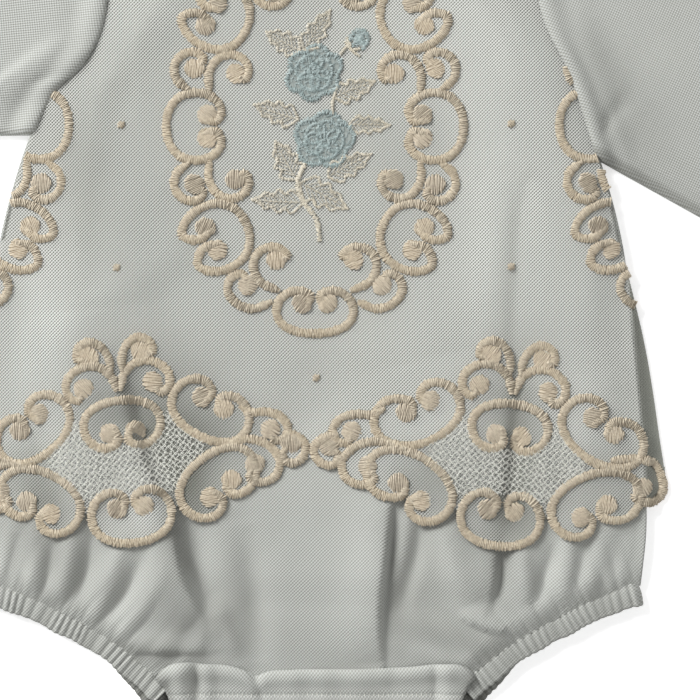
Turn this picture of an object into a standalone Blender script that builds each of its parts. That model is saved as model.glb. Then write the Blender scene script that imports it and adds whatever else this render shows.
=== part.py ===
"""Baby romper, laid flat with its front up.

A knit body with bloomers and long sleeves, a tulle overlay back and front that ends in a
scalloped hem, elastic leg casings, a crotch band and a neck binding. The panels lie on each
other: the tulle back is lowest, then the knit back, the knit front and the tulle front.

Frame: +X to the right as seen from the front, +Y towards the neck, +Z up off the surface.
Units are metres. The tables are in the garment's own plan, whose origin is on the middle line,
halfway from the shoulders to the crotch. An empty then centres the whole over the origin.
"""

from math import asin, atan2, cos, exp, hypot, pi, radians, sin
from typing import NamedTuple

import bpy

# Cloth
WALL = 0.0010  # thickness of each layer of knit or tulle
SEAM_GAP = 0.0003  # clearance between pieces that touch
OVERLAY_GAP = 0.0006  # clearance between the knit front and the tulle over it
BACK_DROP = (-0.158, -0.140)  # levels between which the knit back comes down off the tulle back

# Loft: how far the knit front stands off the knit back
BODICE_LOFT = 0.0020
BLOOMER_LOFT = 0.0054
BLOOMER_TOP = -0.060
SHOULDER_FALL = 0.040  # length over which the bodice thins out below the shoulders
CROTCH_FALL = 0.045  # length over which the bloomers thin out above the crotch
CROTCH_FLATNESS = 0.35  # share of the loft that is left at the crotch

# Neck and shoulders
NECK_HALF = 0.047
NECK_POINT_Y = 0.2065
SHOULDER_TIP_X = 0.097
SHOULDER_TIP_Y = 0.1905
BINDING_WIDTH = 0.009
BINDING_THICKNESS = 0.0022
BINDING_GAP = 0.0006
BINDING_LIFT = 0.0005  # space between its front layer and its back layer

# Crotch
CROTCH_HALF = 0.0645  # where the leg edge turns into the crotch extension
CROTCH_BLEND = 0.013
FRONT_CROTCH_Y = -0.2020
BACK_CROTCH_Y = -0.1922
BAND_TOP_Y = -0.1850
BAND_FOLD_Y = -0.2035
BAND_TOP_HALF = 0.0700
BAND_FOLD_HALF = 0.0590

# Leg casings
CASING_WIDTH = 0.0110
CASING_THICKNESS = 0.0030
CASING_STEP = 0.0046
LEG_GAP = 0.0008  # the knit's wall leans out here, and takes up the rest of the seam gap
GATHER_DEPTH = 0.16  # share of the thickness between a ridge and a dip
LEG_EDGE_LOFT = 0.0023

# Scalloped hem of the tulle, which repeats along the body
HEM_REPEAT = 0.183
HEM_MIDDLE_X = 0.0905
HEM_HIGH_Y = -0.088
HEM_DEPTH = 0.042
HEM_FULLNESS = 0.65
HEM_BEND_TOP = -0.030
OVERLAY_RIM = 0.001  # the last strip of the tulle before it falls past the body's side
OVERLAY_FALL = 0.006

# Sleeves
SLEEVE_EDGE = 0.0032  # thickness at the folded edges
SLEEVE_DOME = 0.0025  # extra thickness along the middle
SLEEVE_SEAM = 0.0020  # length of the seam allowance at the armhole
SLEEVE_STATIONS = 10

# Grid: rows between the landmarks of the side line, and columns across
LEG, HEM, ARMPIT, SHOULDER = 0.0, 1.0, 3.0, 4.0
NECK_SHARE = NECK_HALF / SHOULDER_TIP_X


class NeckEdge(NamedTuple):
    """A neck edge: its fall at the middle and its fullness."""

    drop: float
    power: float


class SideRow(NamedTuple):
    """One level of the body, from the leg corner (0) to the shoulder tip (4)."""

    level: float
    left_x: float
    left_y: float
    right_x: float
    right_y: float
    flare: float  # how far the tulle reaches past the knit


class Leg(NamedTuple):
    """One leg opening: the arc along the middle of its casing, from the outer corner inwards."""

    name: str
    side: int
    corner_x: float
    corner_y: float
    start_angle: float
    end_angle: float
    length: float


class Sleeve(NamedTuple):
    """One sleeve: the two corners of its cuff, underarm and upper."""

    name: str
    side: int
    under_x: float
    under_y: float
    upper_x: float
    upper_y: float


class Fold(NamedTuple):
    """One soft ridge (rise above 0) or trough (rise below 0) of the knit front."""

    start_x: float
    start_y: float
    end_x: float
    end_y: float
    width: float
    rise: float


FRONT_NECK = NeckEdge(drop=0.0360, power=2.5)
BACK_NECK = NeckEdge(drop=0.0095, power=2.0)

SIDE_ROWS = (
    SideRow(0.0, -0.1560, -0.1455, 0.1525, -0.1460, 0.0),
    SideRow(0.5, -0.1605, -0.1240, 0.1552, -0.1240, 0.0040),
    SideRow(1.0, -0.1608, -0.1010, 0.1553, -0.1010, 0.0100),
    SideRow(1.5, -0.1590, -0.0700, 0.1533, -0.0700, 0.0090),
    SideRow(2.0, -0.1552, -0.0300, 0.1492, -0.0300, 0.0060),
    SideRow(2.5, -0.1490, 0.0150, 0.1442, 0.0140, 0.0),
    SideRow(2.75, -0.1426, 0.0410, 0.1394, 0.0345, 0.0),
    SideRow(3.0, -0.1340, 0.0664, 0.1332, 0.0550, 0.0),
    SideRow(3.2, -0.1238, 0.0868, 0.1258, 0.0790, 0.0),
    SideRow(3.4, -0.1115, 0.0978, 0.1185, 0.0985, 0.0),
    SideRow(3.6, -0.1012, 0.1180, 0.1082, 0.1200, 0.0),
    SideRow(3.8, -0.0982, 0.1520, 0.1010, 0.1540, 0.0),
    SideRow(4.0, -0.0970, 0.1905, 0.0970, 0.1905, 0.0),
)

LEGS = (
    Leg("leg_casing_left", -1, 0.1535, -0.1505, 15, 45, 0.095),
    Leg("leg_casing_right", 1, 0.1500, -0.1510, 17, 42, 0.092),
)

SLEEVES = (
    Sleeve("sleeve_left", -1, -0.3240, 0.0640, -0.3190, 0.1420),
    Sleeve("sleeve_right", 1, 0.2990, -0.0380, 0.3370, 0.0300),
)

FOLDS = (
    Fold(0.0190, -0.105, 0.0170, -0.182, 0.011, 0.0030),
    Fold(0.0370, -0.112, 0.0350, -0.176, 0.008, -0.0046),
    Fold(0.0520, -0.110, 0.0500, -0.158, 0.009, 0.0034),
    Fold(0.0820, -0.122, 0.0800, -0.156, 0.009, -0.0042),
    Fold(0.1020, -0.112, 0.0960, -0.152, 0.010, 0.0026),
    Fold(-0.0270, -0.140, -0.0240, -0.184, 0.009, -0.0036),
    Fold(-0.0560, -0.112, -0.0350, -0.176, 0.010, 0.0034),
    Fold(-0.0640, -0.128, -0.0580, -0.164, 0.008, -0.0038),
    Fold(-0.0860, -0.118, -0.0900, -0.160, 0.010, 0.0026),
    Fold(-0.1100, -0.125, -0.1040, -0.154, 0.008, -0.0024),
)

KNIT = (0.60, 0.63, 0.58)
TULLE = (0.72, 0.73, 0.70)


def blend(low: float, high: float, value: float) -> float:
    """Smooth step from 0 at low to 1 at high."""
    share = min(max((value - low) / (high - low), 0.0), 1.0)
    return share * share * (3.0 - 2.0 * share)


def mix(start: float, end: float, share: float) -> float:
    """Value at a share of the way from start to end."""
    return start + (end - start) * share


def side_row(level: float) -> SideRow:
    """The body's sides at any level, read between the rows of the table."""
    for low, high in zip(SIDE_ROWS, SIDE_ROWS[1:]):
        if level <= high.level:
            break
    share = (level - low.level) / (high.level - low.level)
    return SideRow(*(mix(a, b, share) for a, b in zip(low, high)))


def side_x(y: float, side: int) -> float:
    """The body's left (-1) or right (1) side at a height up the body."""
    line = [(row.right_x, row.right_y) if side > 0 else (row.left_x, row.left_y) for row in SIDE_ROWS]
    y = min(max(y, line[0][1]), line[-1][1])
    for low, high in zip(line, line[1:]):
        if y <= high[1]:
            break
    return mix(low[0], high[0], (y - low[1]) / (high[1] - low[1]))


def neck_line(x: float, neck: NeckEdge) -> float:
    """Height up the body of a neck edge, which falls from the neck points to the middle."""
    return NECK_POINT_Y - neck.drop * (1.0 - (abs(x) / NECK_HALF) ** neck.power)


def top_line(x: float, neck: NeckEdge) -> float:
    """Height of the top edge of a panel: the neck edge, then the slope of the shoulder."""
    if abs(x) <= NECK_HALF:
        return neck_line(x, neck)
    share = (abs(x) - NECK_HALF) / (SHOULDER_TIP_X - NECK_HALF)
    return mix(NECK_POINT_Y, SHOULDER_TIP_Y, min(share, 1.0))


def leg_point(leg: Leg, distance: float, offset: float = 0.0) -> tuple[float, float]:
    """Plan point along a leg's arc, moved by offset towards the body."""
    first = radians(leg.start_angle)
    radius = leg.length / radians(leg.end_angle - leg.start_angle)
    angle = first + distance / radius
    x = leg.corner_x - radius * (sin(angle) - sin(first)) - offset * sin(angle)
    y = leg.corner_y + radius * (cos(angle) - cos(first)) + offset * cos(angle)
    return leg.side * x, y


def leg_edge(x: float) -> float:
    """Height of the panels' leg edge, which keeps a gap to the casing's inner side."""
    leg = LEGS[1] if x > 0 else LEGS[0]
    offset = CASING_WIDTH / 2 + LEG_GAP
    first = radians(leg.start_angle)
    radius = leg.length / radians(leg.end_angle - leg.start_angle)
    inward = (leg.corner_x + radius * sin(first) - abs(x)) / (radius + offset)
    angle = asin(min(inward, 1.0))
    return leg.corner_y + radius * (cos(angle) - cos(first)) + offset * cos(angle)


def bottom_line(x: float, crotch_y: float) -> float:
    """Height of the bottom edge of a panel: the leg edges and the crotch between them."""
    crotch = blend(0.0, CROTCH_BLEND, CROTCH_HALF - abs(x))
    return mix(leg_edge(x), crotch_y, crotch)


def hem_line(x: float) -> float:
    """Height of the scalloped hem of the tulle."""
    wave = cos(pi * (x - HEM_MIDDLE_X) / HEM_REPEAT) ** 2
    return HEM_HIGH_Y - HEM_DEPTH * wave**HEM_FULLNESS


def fold_rise(x: float, y: float) -> float:
    """Height that the folds add to the knit front."""
    total = 0.0
    for fold in FOLDS:
        run_x, run_y = fold.end_x - fold.start_x, fold.end_y - fold.start_y
        share = ((x - fold.start_x) * run_x + (y - fold.start_y) * run_y) / (run_x**2 + run_y**2)
        share = min(max(share, 0.0), 1.0)
        away = hypot(x - fold.start_x - share * run_x, y - fold.start_y - share * run_y)
        total += fold.rise * exp(-((away / fold.width) ** 2))
    return total


def back_z(y: float) -> float:
    """Height of the knit back's underside: on the tulle back, then down on the surface."""
    return (WALL + SEAM_GAP) * blend(*BACK_DROP, y)


def front_z(x: float, y: float) -> float:
    """Height of the knit front's underside."""
    left, right = side_x(y, -1), side_x(y, 1)
    across = min(abs(2 * x - left - right) / (right - left), 1.0)
    fullness = (1.0 - across**6) * blend(0.0, SHOULDER_FALL, top_line(x, FRONT_NECK) - y)
    fullness *= mix(CROTCH_FLATNESS, 1.0, blend(0.0, CROTCH_FALL, y - FRONT_CROTCH_Y))
    loft = mix(BLOOMER_LOFT, BODICE_LOFT, blend(BLOOMER_TOP - 0.05, BLOOMER_TOP, y))
    leg_rise = LEG_EDGE_LOFT * (1.0 - blend(0.0, 0.02, y - bottom_line(x, FRONT_CROTCH_Y)))
    lifted = max(loft + fold_rise(x, y), 0.0004) * fullness
    return back_z(y) + WALL + SEAM_GAP + max(lifted, leg_rise)


def overlay_z(x: float, y: float) -> float:
    """Height of the tulle front's underside: over the knit, then down past the body's side."""
    past = max(x - side_x(y, 1), side_x(y, -1) - x, 0.0)
    reach = 0.006
    around = ((0.0, 0.0), (reach, 0.0), (-reach, 0.0), (0.0, reach), (0.0, -reach))
    over = max(front_z(x + dx, y + dy) for dx, dy in around) + WALL + OVERLAY_GAP
    return mix(over, WALL + SEAM_GAP, min(past / OVERLAY_FALL, 1.0))


def columns(inner: int, outer: int) -> list[float]:
    """Shares across a panel from -1 to 1: inner steps to each neck point, outer steps beyond."""
    half = [NECK_SHARE * i / inner for i in range(inner)]
    half += [mix(NECK_SHARE, 1.0, i / outer) for i in range(outer + 1)]
    return [-share for share in reversed(half[1:])] + half


def levels(*runs: tuple[float, float, int]) -> list[float]:
    """Levels up the side line, from runs of (first, last, steps)."""
    found = [runs[0][0]]
    for first, last, steps in runs:
        found += [mix(first, last, (i + 1) / steps) for i in range(steps)]
    return found


def plan_point(across: float, level: float) -> tuple[float, float]:
    """Point on the straight line between the body's two sides at a level."""
    row = side_row(level)
    share = (across + 1.0) / 2.0
    return mix(row.left_x, row.right_x, share), mix(row.left_y, row.right_y, share)


def neck_bend(x: float, level: float, neck: NeckEdge) -> float:
    """How far a row near the top moves to follow the neck and the shoulders."""
    return blend(ARMPIT + 0.3, SHOULDER, level) * (top_line(x, neck) - SHOULDER_TIP_Y)


def body_xy(across: float, level: float, neck: NeckEdge, crotch_y: float) -> tuple[float, float]:
    """Plan point of a knit panel, whose lowest rows bend to the leg edges and the crotch."""
    x, y = plan_point(across, level)
    low_y = plan_point(across, LEG)[1]
    low_bend = 1.0 - blend(LEG, HEM + 0.3, level)
    return x, y + neck_bend(x, level, neck) + low_bend * (bottom_line(x, crotch_y) - low_y)


def overlay_xy(across: float, level: float, neck: NeckEdge) -> tuple[float, float]:
    """Plan point of a tulle panel, whose lowest rows bend to the scalloped hem."""
    row = side_row(level)
    x, y = plan_point(min(max(across, -1.0), 1.0), level)
    if abs(across) > 1.0:
        x += row.flare if across > 0 else -row.flare
    else:
        x -= OVERLAY_RIM * across
    y += neck_bend(x, level, neck)
    hem_y = side_row(HEM).left_y
    return x, y + (1.0 - blend(hem_y, HEM_BEND_TOP, y)) * (hem_line(x) - hem_y)


def new_object(name: str, points, faces, colour, roughness: float):
    """Makes a shaded mesh object with its own material, in the romper's collection."""
    mesh = bpy.data.meshes.new(name)
    mesh.from_pydata(points, [], faces)
    mesh.shade_smooth()
    material = bpy.data.materials.new(name)
    material.use_nodes = True
    shader = material.node_tree.nodes["Principled BSDF"]
    shader.inputs["Base Color"].default_value = (*colour, 1.0)
    shader.inputs["Roughness"].default_value = roughness
    shader.inputs["Metallic"].default_value = 0.0
    mesh.materials.append(material)
    item = bpy.data.objects.new(name, mesh)
    bpy.data.collections["baby_romper"].objects.link(item)
    return item


def sheet(name: str, rows, colour, around: bool = False, offset: float = 1.0):
    """Makes a wall of cloth from rows of points: open at its edges, or a tube when around."""
    width = len(rows[0])
    points = [point for row in rows for point in row]
    faces = []
    for i in range(len(rows) - 1):
        for j in range(width if around else width - 1):
            k = (j + 1) % width
            faces.append((i * width + j, i * width + k, (i + 1) * width + k, (i + 1) * width + j))
    item = new_object(name, points, faces, colour, 0.9)
    solid = item.modifiers.new("wall", "SOLIDIFY")
    solid.thickness = WALL
    solid.offset = offset
    return item


def loft(name: str, rings, colour, closed: bool = False):
    """Makes a solid through rings of points, capped at its ends or closed into a loop."""
    width = len(rings[0])
    points = [point for ring in rings for point in ring]
    faces = []
    for i in range(len(rings) if closed else len(rings) - 1):
        near, far = i * width, (i + 1) % len(rings) * width
        for j in range(width):
            k = (j + 1) % width
            faces.append((near + j, near + k, far + k, far + j))
    if not closed:
        faces.append(tuple(reversed(range(width))))
        faces.append(tuple(range(len(points) - width, len(points))))
    return new_object(name, points, faces, colour, 0.9)


def make_body_panels() -> None:
    """The knit back and the knit front, with its folds."""
    rows = []
    for level in levels((LEG, HEM, 5), (HEM, ARMPIT, 4), (ARMPIT, SHOULDER, 5)):
        plan = [body_xy(share, level, BACK_NECK, BACK_CROTCH_Y) for share in columns(3, 6)]
        rows.append([(x, y, back_z(y)) for x, y in plan])
    sheet("body_back", rows, KNIT)
    rows = []
    for level in levels((LEG, HEM, 9), (HEM, ARMPIT, 8), (ARMPIT, SHOULDER, 5)):
        plan = [body_xy(share, level, FRONT_NECK, FRONT_CROTCH_Y) for share in columns(6, 7)]
        rows.append([(x, y, front_z(x, y)) for x, y in plan])
    sheet("body_front", rows, KNIT)


def make_overlays() -> None:
    """The tulle back, flat on the surface, and the tulle front over the knit front."""
    rows = []
    for level in levels((HEM, ARMPIT, 6), (ARMPIT, SHOULDER, 5)):
        plan = [overlay_xy(share, level, BACK_NECK) for share in (-1.1, *columns(3, 5), 1.1)]
        rows.append([(x, y, 0.0) for x, y in plan])
    sheet("overlay_back", rows, TULLE)
    rows = []
    for level in levels((HEM, ARMPIT, 11), (ARMPIT, SHOULDER, 5)):
        plan = [overlay_xy(share, level, FRONT_NECK) for share in (-1.1, *columns(6, 7), 1.1)]
        rows.append([(x, y, overlay_z(x, y)) for x, y in plan])
    sheet("overlay_front", rows, TULLE)


def make_sleeve(sleeve: Sleeve) -> None:
    """A flat tube from the armhole to the cuff: level below, domed above, rounded at its edges."""
    shares = (0.025, 0.2, 0.4, 0.6, 0.8, 0.975)
    around = [(0.0, 0.5)] + [(share, 1.0) for share in shares]
    around += [(1.0, 0.5)] + [(share, 0.0) for share in reversed(shares)]
    rings = []
    for station in range(-1, SLEEVE_STATIONS + 1):
        along = max(station, 0) / SLEEVE_STATIONS
        seam = SEAM_GAP if station < 0 else SEAM_GAP + SLEEVE_SEAM
        ring = []
        for share, rise in around:
            row = side_row(mix(ARMPIT, SHOULDER, share))
            start_x, start_y = (row.right_x, row.right_y) if sleeve.side > 0 else (row.left_x, row.left_y)
            start_x += sleeve.side * seam
            x = mix(start_x, mix(sleeve.under_x, sleeve.upper_x, share), along)
            y = mix(start_y, mix(sleeve.under_y, sleeve.upper_y, share), along)
            ring.append((x, y, rise * (SLEEVE_EDGE + SLEEVE_DOME * sin(pi * share))))
        rings.append(ring[::-1] if sleeve.side > 0 else ring)
    sheet(sleeve.name, rings, KNIT, around=True, offset=-1.0)


def make_leg_casing(leg: Leg) -> None:
    """A gathered band that runs along the front leg edge, turns over and returns on the back."""
    low_z = CASING_THICKNESS / 2
    high_z = low_z + CASING_THICKNESS + SEAM_GAP
    turn_radius = (high_z - low_z) / 2
    steps = round(leg.length / CASING_STEP)
    stations = [(leg.length * (1 - i / steps), high_z, 0.0) for i in range(steps + 1)]
    for i in range(1, 4):
        tilt = pi * i / 4
        stations.append((-turn_radius * sin(tilt), (high_z + low_z) / 2 + turn_radius * cos(tilt), tilt))
    stations += [(leg.length * i / steps, low_z, pi) for i in range(steps + 1)]
    outline = (
        (-0.50, -0.25), (-0.42, -0.50), (0.0, -0.50), (0.42, -0.50), (0.50, -0.25),
        (0.50, 0.25), (0.42, 0.50), (0.0, 0.50), (-0.42, 0.50), (-0.50, 0.25),
    )
    rings = []
    for index, (distance, z, tilt) in enumerate(stations):
        gather = 1.0 - GATHER_DEPTH * (index % 2) * (cos(tilt) > 0.9)
        ring = []
        for wide, thick in outline:
            up = thick * CASING_THICKNESS
            up = up * gather if thick > 0 else up
            x, y = leg_point(leg, distance - up * sin(tilt), wide * CASING_WIDTH)
            ring.append((x, y, z + up * cos(tilt)))
        rings.append(ring if leg.side > 0 else ring[::-1])
    loft(leg.name, rings, KNIT)


def make_crotch_band() -> None:
    """The band that lies over the front at the crotch, turns under it and ends on the back."""
    top_z = front_z(0.0, BAND_FOLD_Y) + 2 * WALL + OVERLAY_GAP
    radius = top_z / 2
    rows = []
    for y in (BAND_TOP_Y, -0.1905, -0.1965, BAND_FOLD_Y):
        half = mix(BAND_TOP_HALF, BAND_FOLD_HALF, (y - BAND_TOP_Y) / (BAND_FOLD_Y - BAND_TOP_Y))
        rows.append([(half * c, y, overlay_z(half * c, y) + WALL) for c in band_columns()])
    for i in range(1, 5):
        tilt = pi * i / 5
        y, z = BAND_FOLD_Y - radius * sin(tilt), radius + radius * cos(tilt)
        rows.append([(BAND_FOLD_HALF * c, y, z) for c in band_columns()])
    for y in (BAND_FOLD_Y, BACK_CROTCH_Y - SEAM_GAP):
        rows.append([(BAND_FOLD_HALF * c, y, 0.0) for c in band_columns()])
    sheet("crotch_band", rows, KNIT, offset=1.0)


def band_columns() -> list[float]:
    """Shares across the crotch band."""
    return [i / 6 for i in range(-6, 7)]


def binding_station(x: float, neck: NeckEdge) -> tuple[float, float, float]:
    """Where the binding crosses a neck edge: its point and the lean of its width."""
    slope = neck.power * neck.drop / NECK_HALF * (abs(x) / NECK_HALF) ** (neck.power - 1)
    lean = -atan2(slope, 1.0) if x > 0 else atan2(slope, 1.0)
    return x, neck_line(x, neck) + BINDING_GAP, lean


def binding_ring(station, turn: float, side: int):
    """The binding's section at a station: face up at no turn, face down at a half turn."""
    x, y, lean = station
    middle_z = BINDING_THICKNESS + BINDING_LIFT / 2
    ring = []
    for across, up in ((0.0, 0.0), (1.0, 0.0), (1.0, 1.0), (0.0, 1.0)):
        run = across * BINDING_WIDTH
        reach = BINDING_LIFT / 2 + up * BINDING_THICKNESS
        out = side * reach * sin(turn)
        ring_x = x + run * sin(lean) + out * cos(lean)
        ring_y = y + run * cos(lean) - out * sin(lean)
        ring.append((ring_x, ring_y, middle_z + reach * cos(turn)))
    return ring


def binding_corner(front, back, side: int):
    """Rings at a neck point, from front to back: the width swings to its fold, then turns under."""
    shares = (1 / 3, 2 / 3, 1.0)
    swing = [tuple(mix(a, b, share) for a, b in zip(front, back)) for share in shares]
    rings = [binding_ring(station, 0.0, side) for station in swing]
    return rings + [binding_ring(back, pi * i / 6, side) for i in range(1, 6)]


def make_neck_binding() -> None:
    """A flat band round the neck: its front lies over its back, with a fold at each neck point."""
    reach = [NECK_HALF * i / 6 for i in range(-6, 7)]
    front = [binding_station(x, FRONT_NECK) for x in reach]
    back = [binding_station(x, BACK_NECK) for x in reversed(reach)]
    rings = [binding_ring(station, 0.0, 1) for station in front]
    rings += binding_corner(front[-1], back[0], 1)
    rings += [binding_ring(station, pi, 1) for station in back]
    rings += reversed(binding_corner(front[0], back[-1], -1))
    loft("neck_binding", rings, KNIT, closed=True)


def centre(items) -> None:
    """Parents every piece to one empty that puts the middle of the whole over the origin."""
    points = [vertex.co for item in items for vertex in item.data.vertices]
    middle = bpy.data.objects.new("romper", None)
    bpy.data.collections["baby_romper"].objects.link(middle)
    middle.location.x = -(min(p.x for p in points) + max(p.x for p in points)) / 2
    middle.location.y = -(min(p.y for p in points) + max(p.y for p in points)) / 2
    for item in items:
        item.parent = middle


def main() -> None:
    """Clears the scene and makes every piece of the romper."""
    for item in list(bpy.data.objects):
        bpy.data.objects.remove(item)
    collection = bpy.data.collections.new("baby_romper")
    bpy.context.scene.collection.children.link(collection)
    make_body_panels()
    make_overlays()
    for sleeve in SLEEVES:
        make_sleeve(sleeve)
    for leg in LEGS:
        make_leg_casing(leg)
    make_crotch_band()
    make_neck_binding()
    centre(list(collection.objects))


main()
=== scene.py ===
import logging
from dataclasses import dataclass, field, replace
from enum import Enum
from math import atan2, cos, degrees, hypot, pi, radians, sin
from typing import Callable, Sequence

import bpy
import numpy as np
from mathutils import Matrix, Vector


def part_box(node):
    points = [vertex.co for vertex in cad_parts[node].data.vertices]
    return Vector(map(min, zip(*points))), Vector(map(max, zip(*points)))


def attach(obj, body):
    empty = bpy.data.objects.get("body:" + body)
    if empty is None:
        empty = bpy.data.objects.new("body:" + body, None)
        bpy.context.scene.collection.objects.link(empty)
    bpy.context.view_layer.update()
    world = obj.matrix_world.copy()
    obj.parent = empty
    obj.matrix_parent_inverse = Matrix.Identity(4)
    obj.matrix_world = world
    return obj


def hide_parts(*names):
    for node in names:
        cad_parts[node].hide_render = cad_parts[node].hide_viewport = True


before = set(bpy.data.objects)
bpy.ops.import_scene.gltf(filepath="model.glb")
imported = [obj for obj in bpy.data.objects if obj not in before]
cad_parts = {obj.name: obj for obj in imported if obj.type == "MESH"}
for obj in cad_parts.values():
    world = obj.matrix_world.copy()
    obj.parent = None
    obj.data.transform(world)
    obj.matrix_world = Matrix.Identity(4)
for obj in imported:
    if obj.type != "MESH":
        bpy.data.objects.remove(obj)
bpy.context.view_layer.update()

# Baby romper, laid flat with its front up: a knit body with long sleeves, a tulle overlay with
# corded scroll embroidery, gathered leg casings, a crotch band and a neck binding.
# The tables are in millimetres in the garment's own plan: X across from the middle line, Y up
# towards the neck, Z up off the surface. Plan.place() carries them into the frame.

LOG = logging.getLogger("romper")
MM = 0.001
Point = tuple[float, float]
Array = np.ndarray
Height = Callable[[Array, Array], Array]
Colour = tuple[float, float, float]
Dots = list[tuple[Point, float]]
Socket = bpy.types.NodeSocket
Material = bpy.types.Material
Piece = bpy.types.Object


# ---------------------------------------------------------------- small sums


def blend(low: float, high: float, value: Array) -> Array:
    """Smooth step from 0 at low to 1 at high."""
    share = np.clip((np.asarray(value, float) - low) / (high - low), 0.0, 1.0)
    return share * share * (3.0 - 2.0 * share)


def mix(start: Array, end: Array, share: Array) -> Array:
    """Value at a share of the way from start to end."""
    return start + (end - start) * share


def bump(value: Array, middle: float, width: float) -> Array:
    """A smooth bump of height 1, which falls to 1/e at its width from the middle."""
    return np.exp(-(((value - middle) / width) ** 2))


def squared(value: Array, power: float) -> Array:
    """A sine or cosine made squarer by a power below 1, with its sign kept."""
    return np.sign(value) * np.abs(value) ** power


def runs(inside: Array) -> list[tuple[int, int]]:
    """First point and end of each stretch of a path that is inside."""
    edges = np.flatnonzero(np.diff(np.concatenate([[0], inside.astype(int), [0]])))
    return list(zip(edges[::2], edges[1::2]))


def flowing(knots: Array, values: Array, at: Array) -> Array:
    """Smooth line through values at knots.

    Args:
        knots: Rising positions of the values.
        values: One value, or one row of values, for each knot.
        at: Positions to read.

    Returns:
        The line's value at each position.
    """
    knots, values, at = np.asarray(knots, float), np.asarray(values, float), np.asarray(at, float)
    slopes = np.gradient(values, knots, axis=0)
    i = np.clip(np.searchsorted(knots, at) - 1, 0, len(knots) - 2)
    step = knots[i + 1] - knots[i]
    t = np.clip((at - knots[i]) / step, 0.0, 1.0)
    if values.ndim > 1:
        t, step = t[..., None], step[..., None]
    line = values[i] * (2 * t**3 - 3 * t**2 + 1) + slopes[i] * step * (t**3 - 2 * t**2 + t)
    return line + values[i + 1] * (3 * t**2 - 2 * t**3) + slopes[i + 1] * step * (t**3 - t**2)


def drawn(points: Sequence[Point], step: float = 0.8) -> Array:
    """Smooth path through plan points, evenly stepped.

    Args:
        points: Points that the path passes.
        step: Distance between the path's own points, in millimetres.

    Returns:
        Rows of x and y.
    """
    points = np.asarray(points, float)
    along = np.concatenate([[0.0], np.cumsum(np.hypot(*np.diff(points, axis=0).T))])
    fine = flowing(along, points, np.linspace(0.0, along[-1], 12 * len(points)))
    length = np.concatenate([[0.0], np.cumsum(np.hypot(*np.diff(fine, axis=0).T))])
    even = np.linspace(0.0, length[-1], max(int(length[-1] / step) + 1, 3))
    return np.column_stack([np.interp(even, length, fine[:, axis]) for axis in (0, 1)])


def turned(points: Array, angle: float) -> Array:
    """Plan points turned about the origin by an angle in degrees.

    Args:
        points: Rows of x and y.
        angle: The angle.

    Returns:
        The turned points.
    """
    c, s = cos(radians(angle)), sin(radians(angle))
    x, y = np.asarray(points, float).T
    return np.column_stack([x * c - y * s, x * s + y * c])


# ---------------------------------------------------------------- the garment's plan


class Side(Enum):
    """A side of the garment, seen from the front."""

    LEFT = -1
    RIGHT = 1


@dataclass(frozen=True)
class NeckEdge:
    """The curve of a neck edge."""

    drop: float
    power: float


@dataclass(frozen=True)
class Leg:
    """One leg opening: the arc along the middle of its casing, from the outer corner inwards."""

    side: Side
    corner_x: float
    corner_y: float
    start_angle: float
    end_angle: float
    length: float
    fullness: float
    reach: float

    @property
    def radius(self) -> float:
        """Radius of the arc."""
        return self.length / radians(self.end_angle - self.start_angle)

    def point(self, distance: Array, offset: Array = 0.0) -> tuple[Array, Array]:
        """Plan point along the arc.

        Args:
            distance: Distance from the outer corner.
            offset: Move towards the body.

        Returns:
            The point's x and y.
        """
        first = radians(self.start_angle)
        angle = first + distance / self.radius
        x = self.corner_x - self.radius * (np.sin(angle) - sin(first)) - offset * np.sin(angle)
        y = self.corner_y + self.radius * (np.cos(angle) - cos(first)) + offset * np.cos(angle)
        return self.side.value * x, y

    def locate(self, x: Array, y: Array) -> tuple[Array, Array]:
        """Distance along the arc and offset from it, for plan points.

        Args:
            x: Plan x.
            y: Plan y.

        Returns:
            The distance and the offset.
        """
        first = radians(self.start_angle)
        across = self.side.value * x - (self.corner_x + self.radius * sin(first))
        up = y - (self.corner_y - self.radius * cos(first))
        return (np.arctan2(-across, up) - first) * self.radius, np.hypot(across, up) - self.radius

    def pucker(self, distance: Array) -> Array:
        """How far the elastic lets the cloth stand, from 0 in a pleat to 1 on a ridge.

        Args:
            distance: Distance from the outer corner.

        Returns:
            The share of the full height.
        """
        phase = 1.3 * self.side.value
        turn = distance / 3.7 + 0.26 * np.sin(distance / 5.3 + phase)
        turn = turn + 0.12 * np.sin(distance / 2.7 + 1.0)
        size = 0.62 + 0.24 * np.sin(distance / 4.3 + phase) + 0.14 * np.sin(distance / 1.9 + 2.0)
        return np.abs(np.sin(pi * turn)) ** 0.85 * size

    def edge(self, x: Array, offset: float) -> Array:
        """Height of a line beside the arc.

        Args:
            x: Where to read it.
            offset: Distance of the line from the arc, towards the body.

        Returns:
            The line's y.
        """
        first = radians(self.start_angle)
        inward = (self.corner_x + self.radius * sin(first) - np.abs(x)) / (self.radius + offset)
        angle = np.arcsin(np.clip(inward, -1.0, 1.0))
        return self.corner_y + self.radius * (np.cos(angle) - cos(first)) + offset * np.cos(angle)


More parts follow.
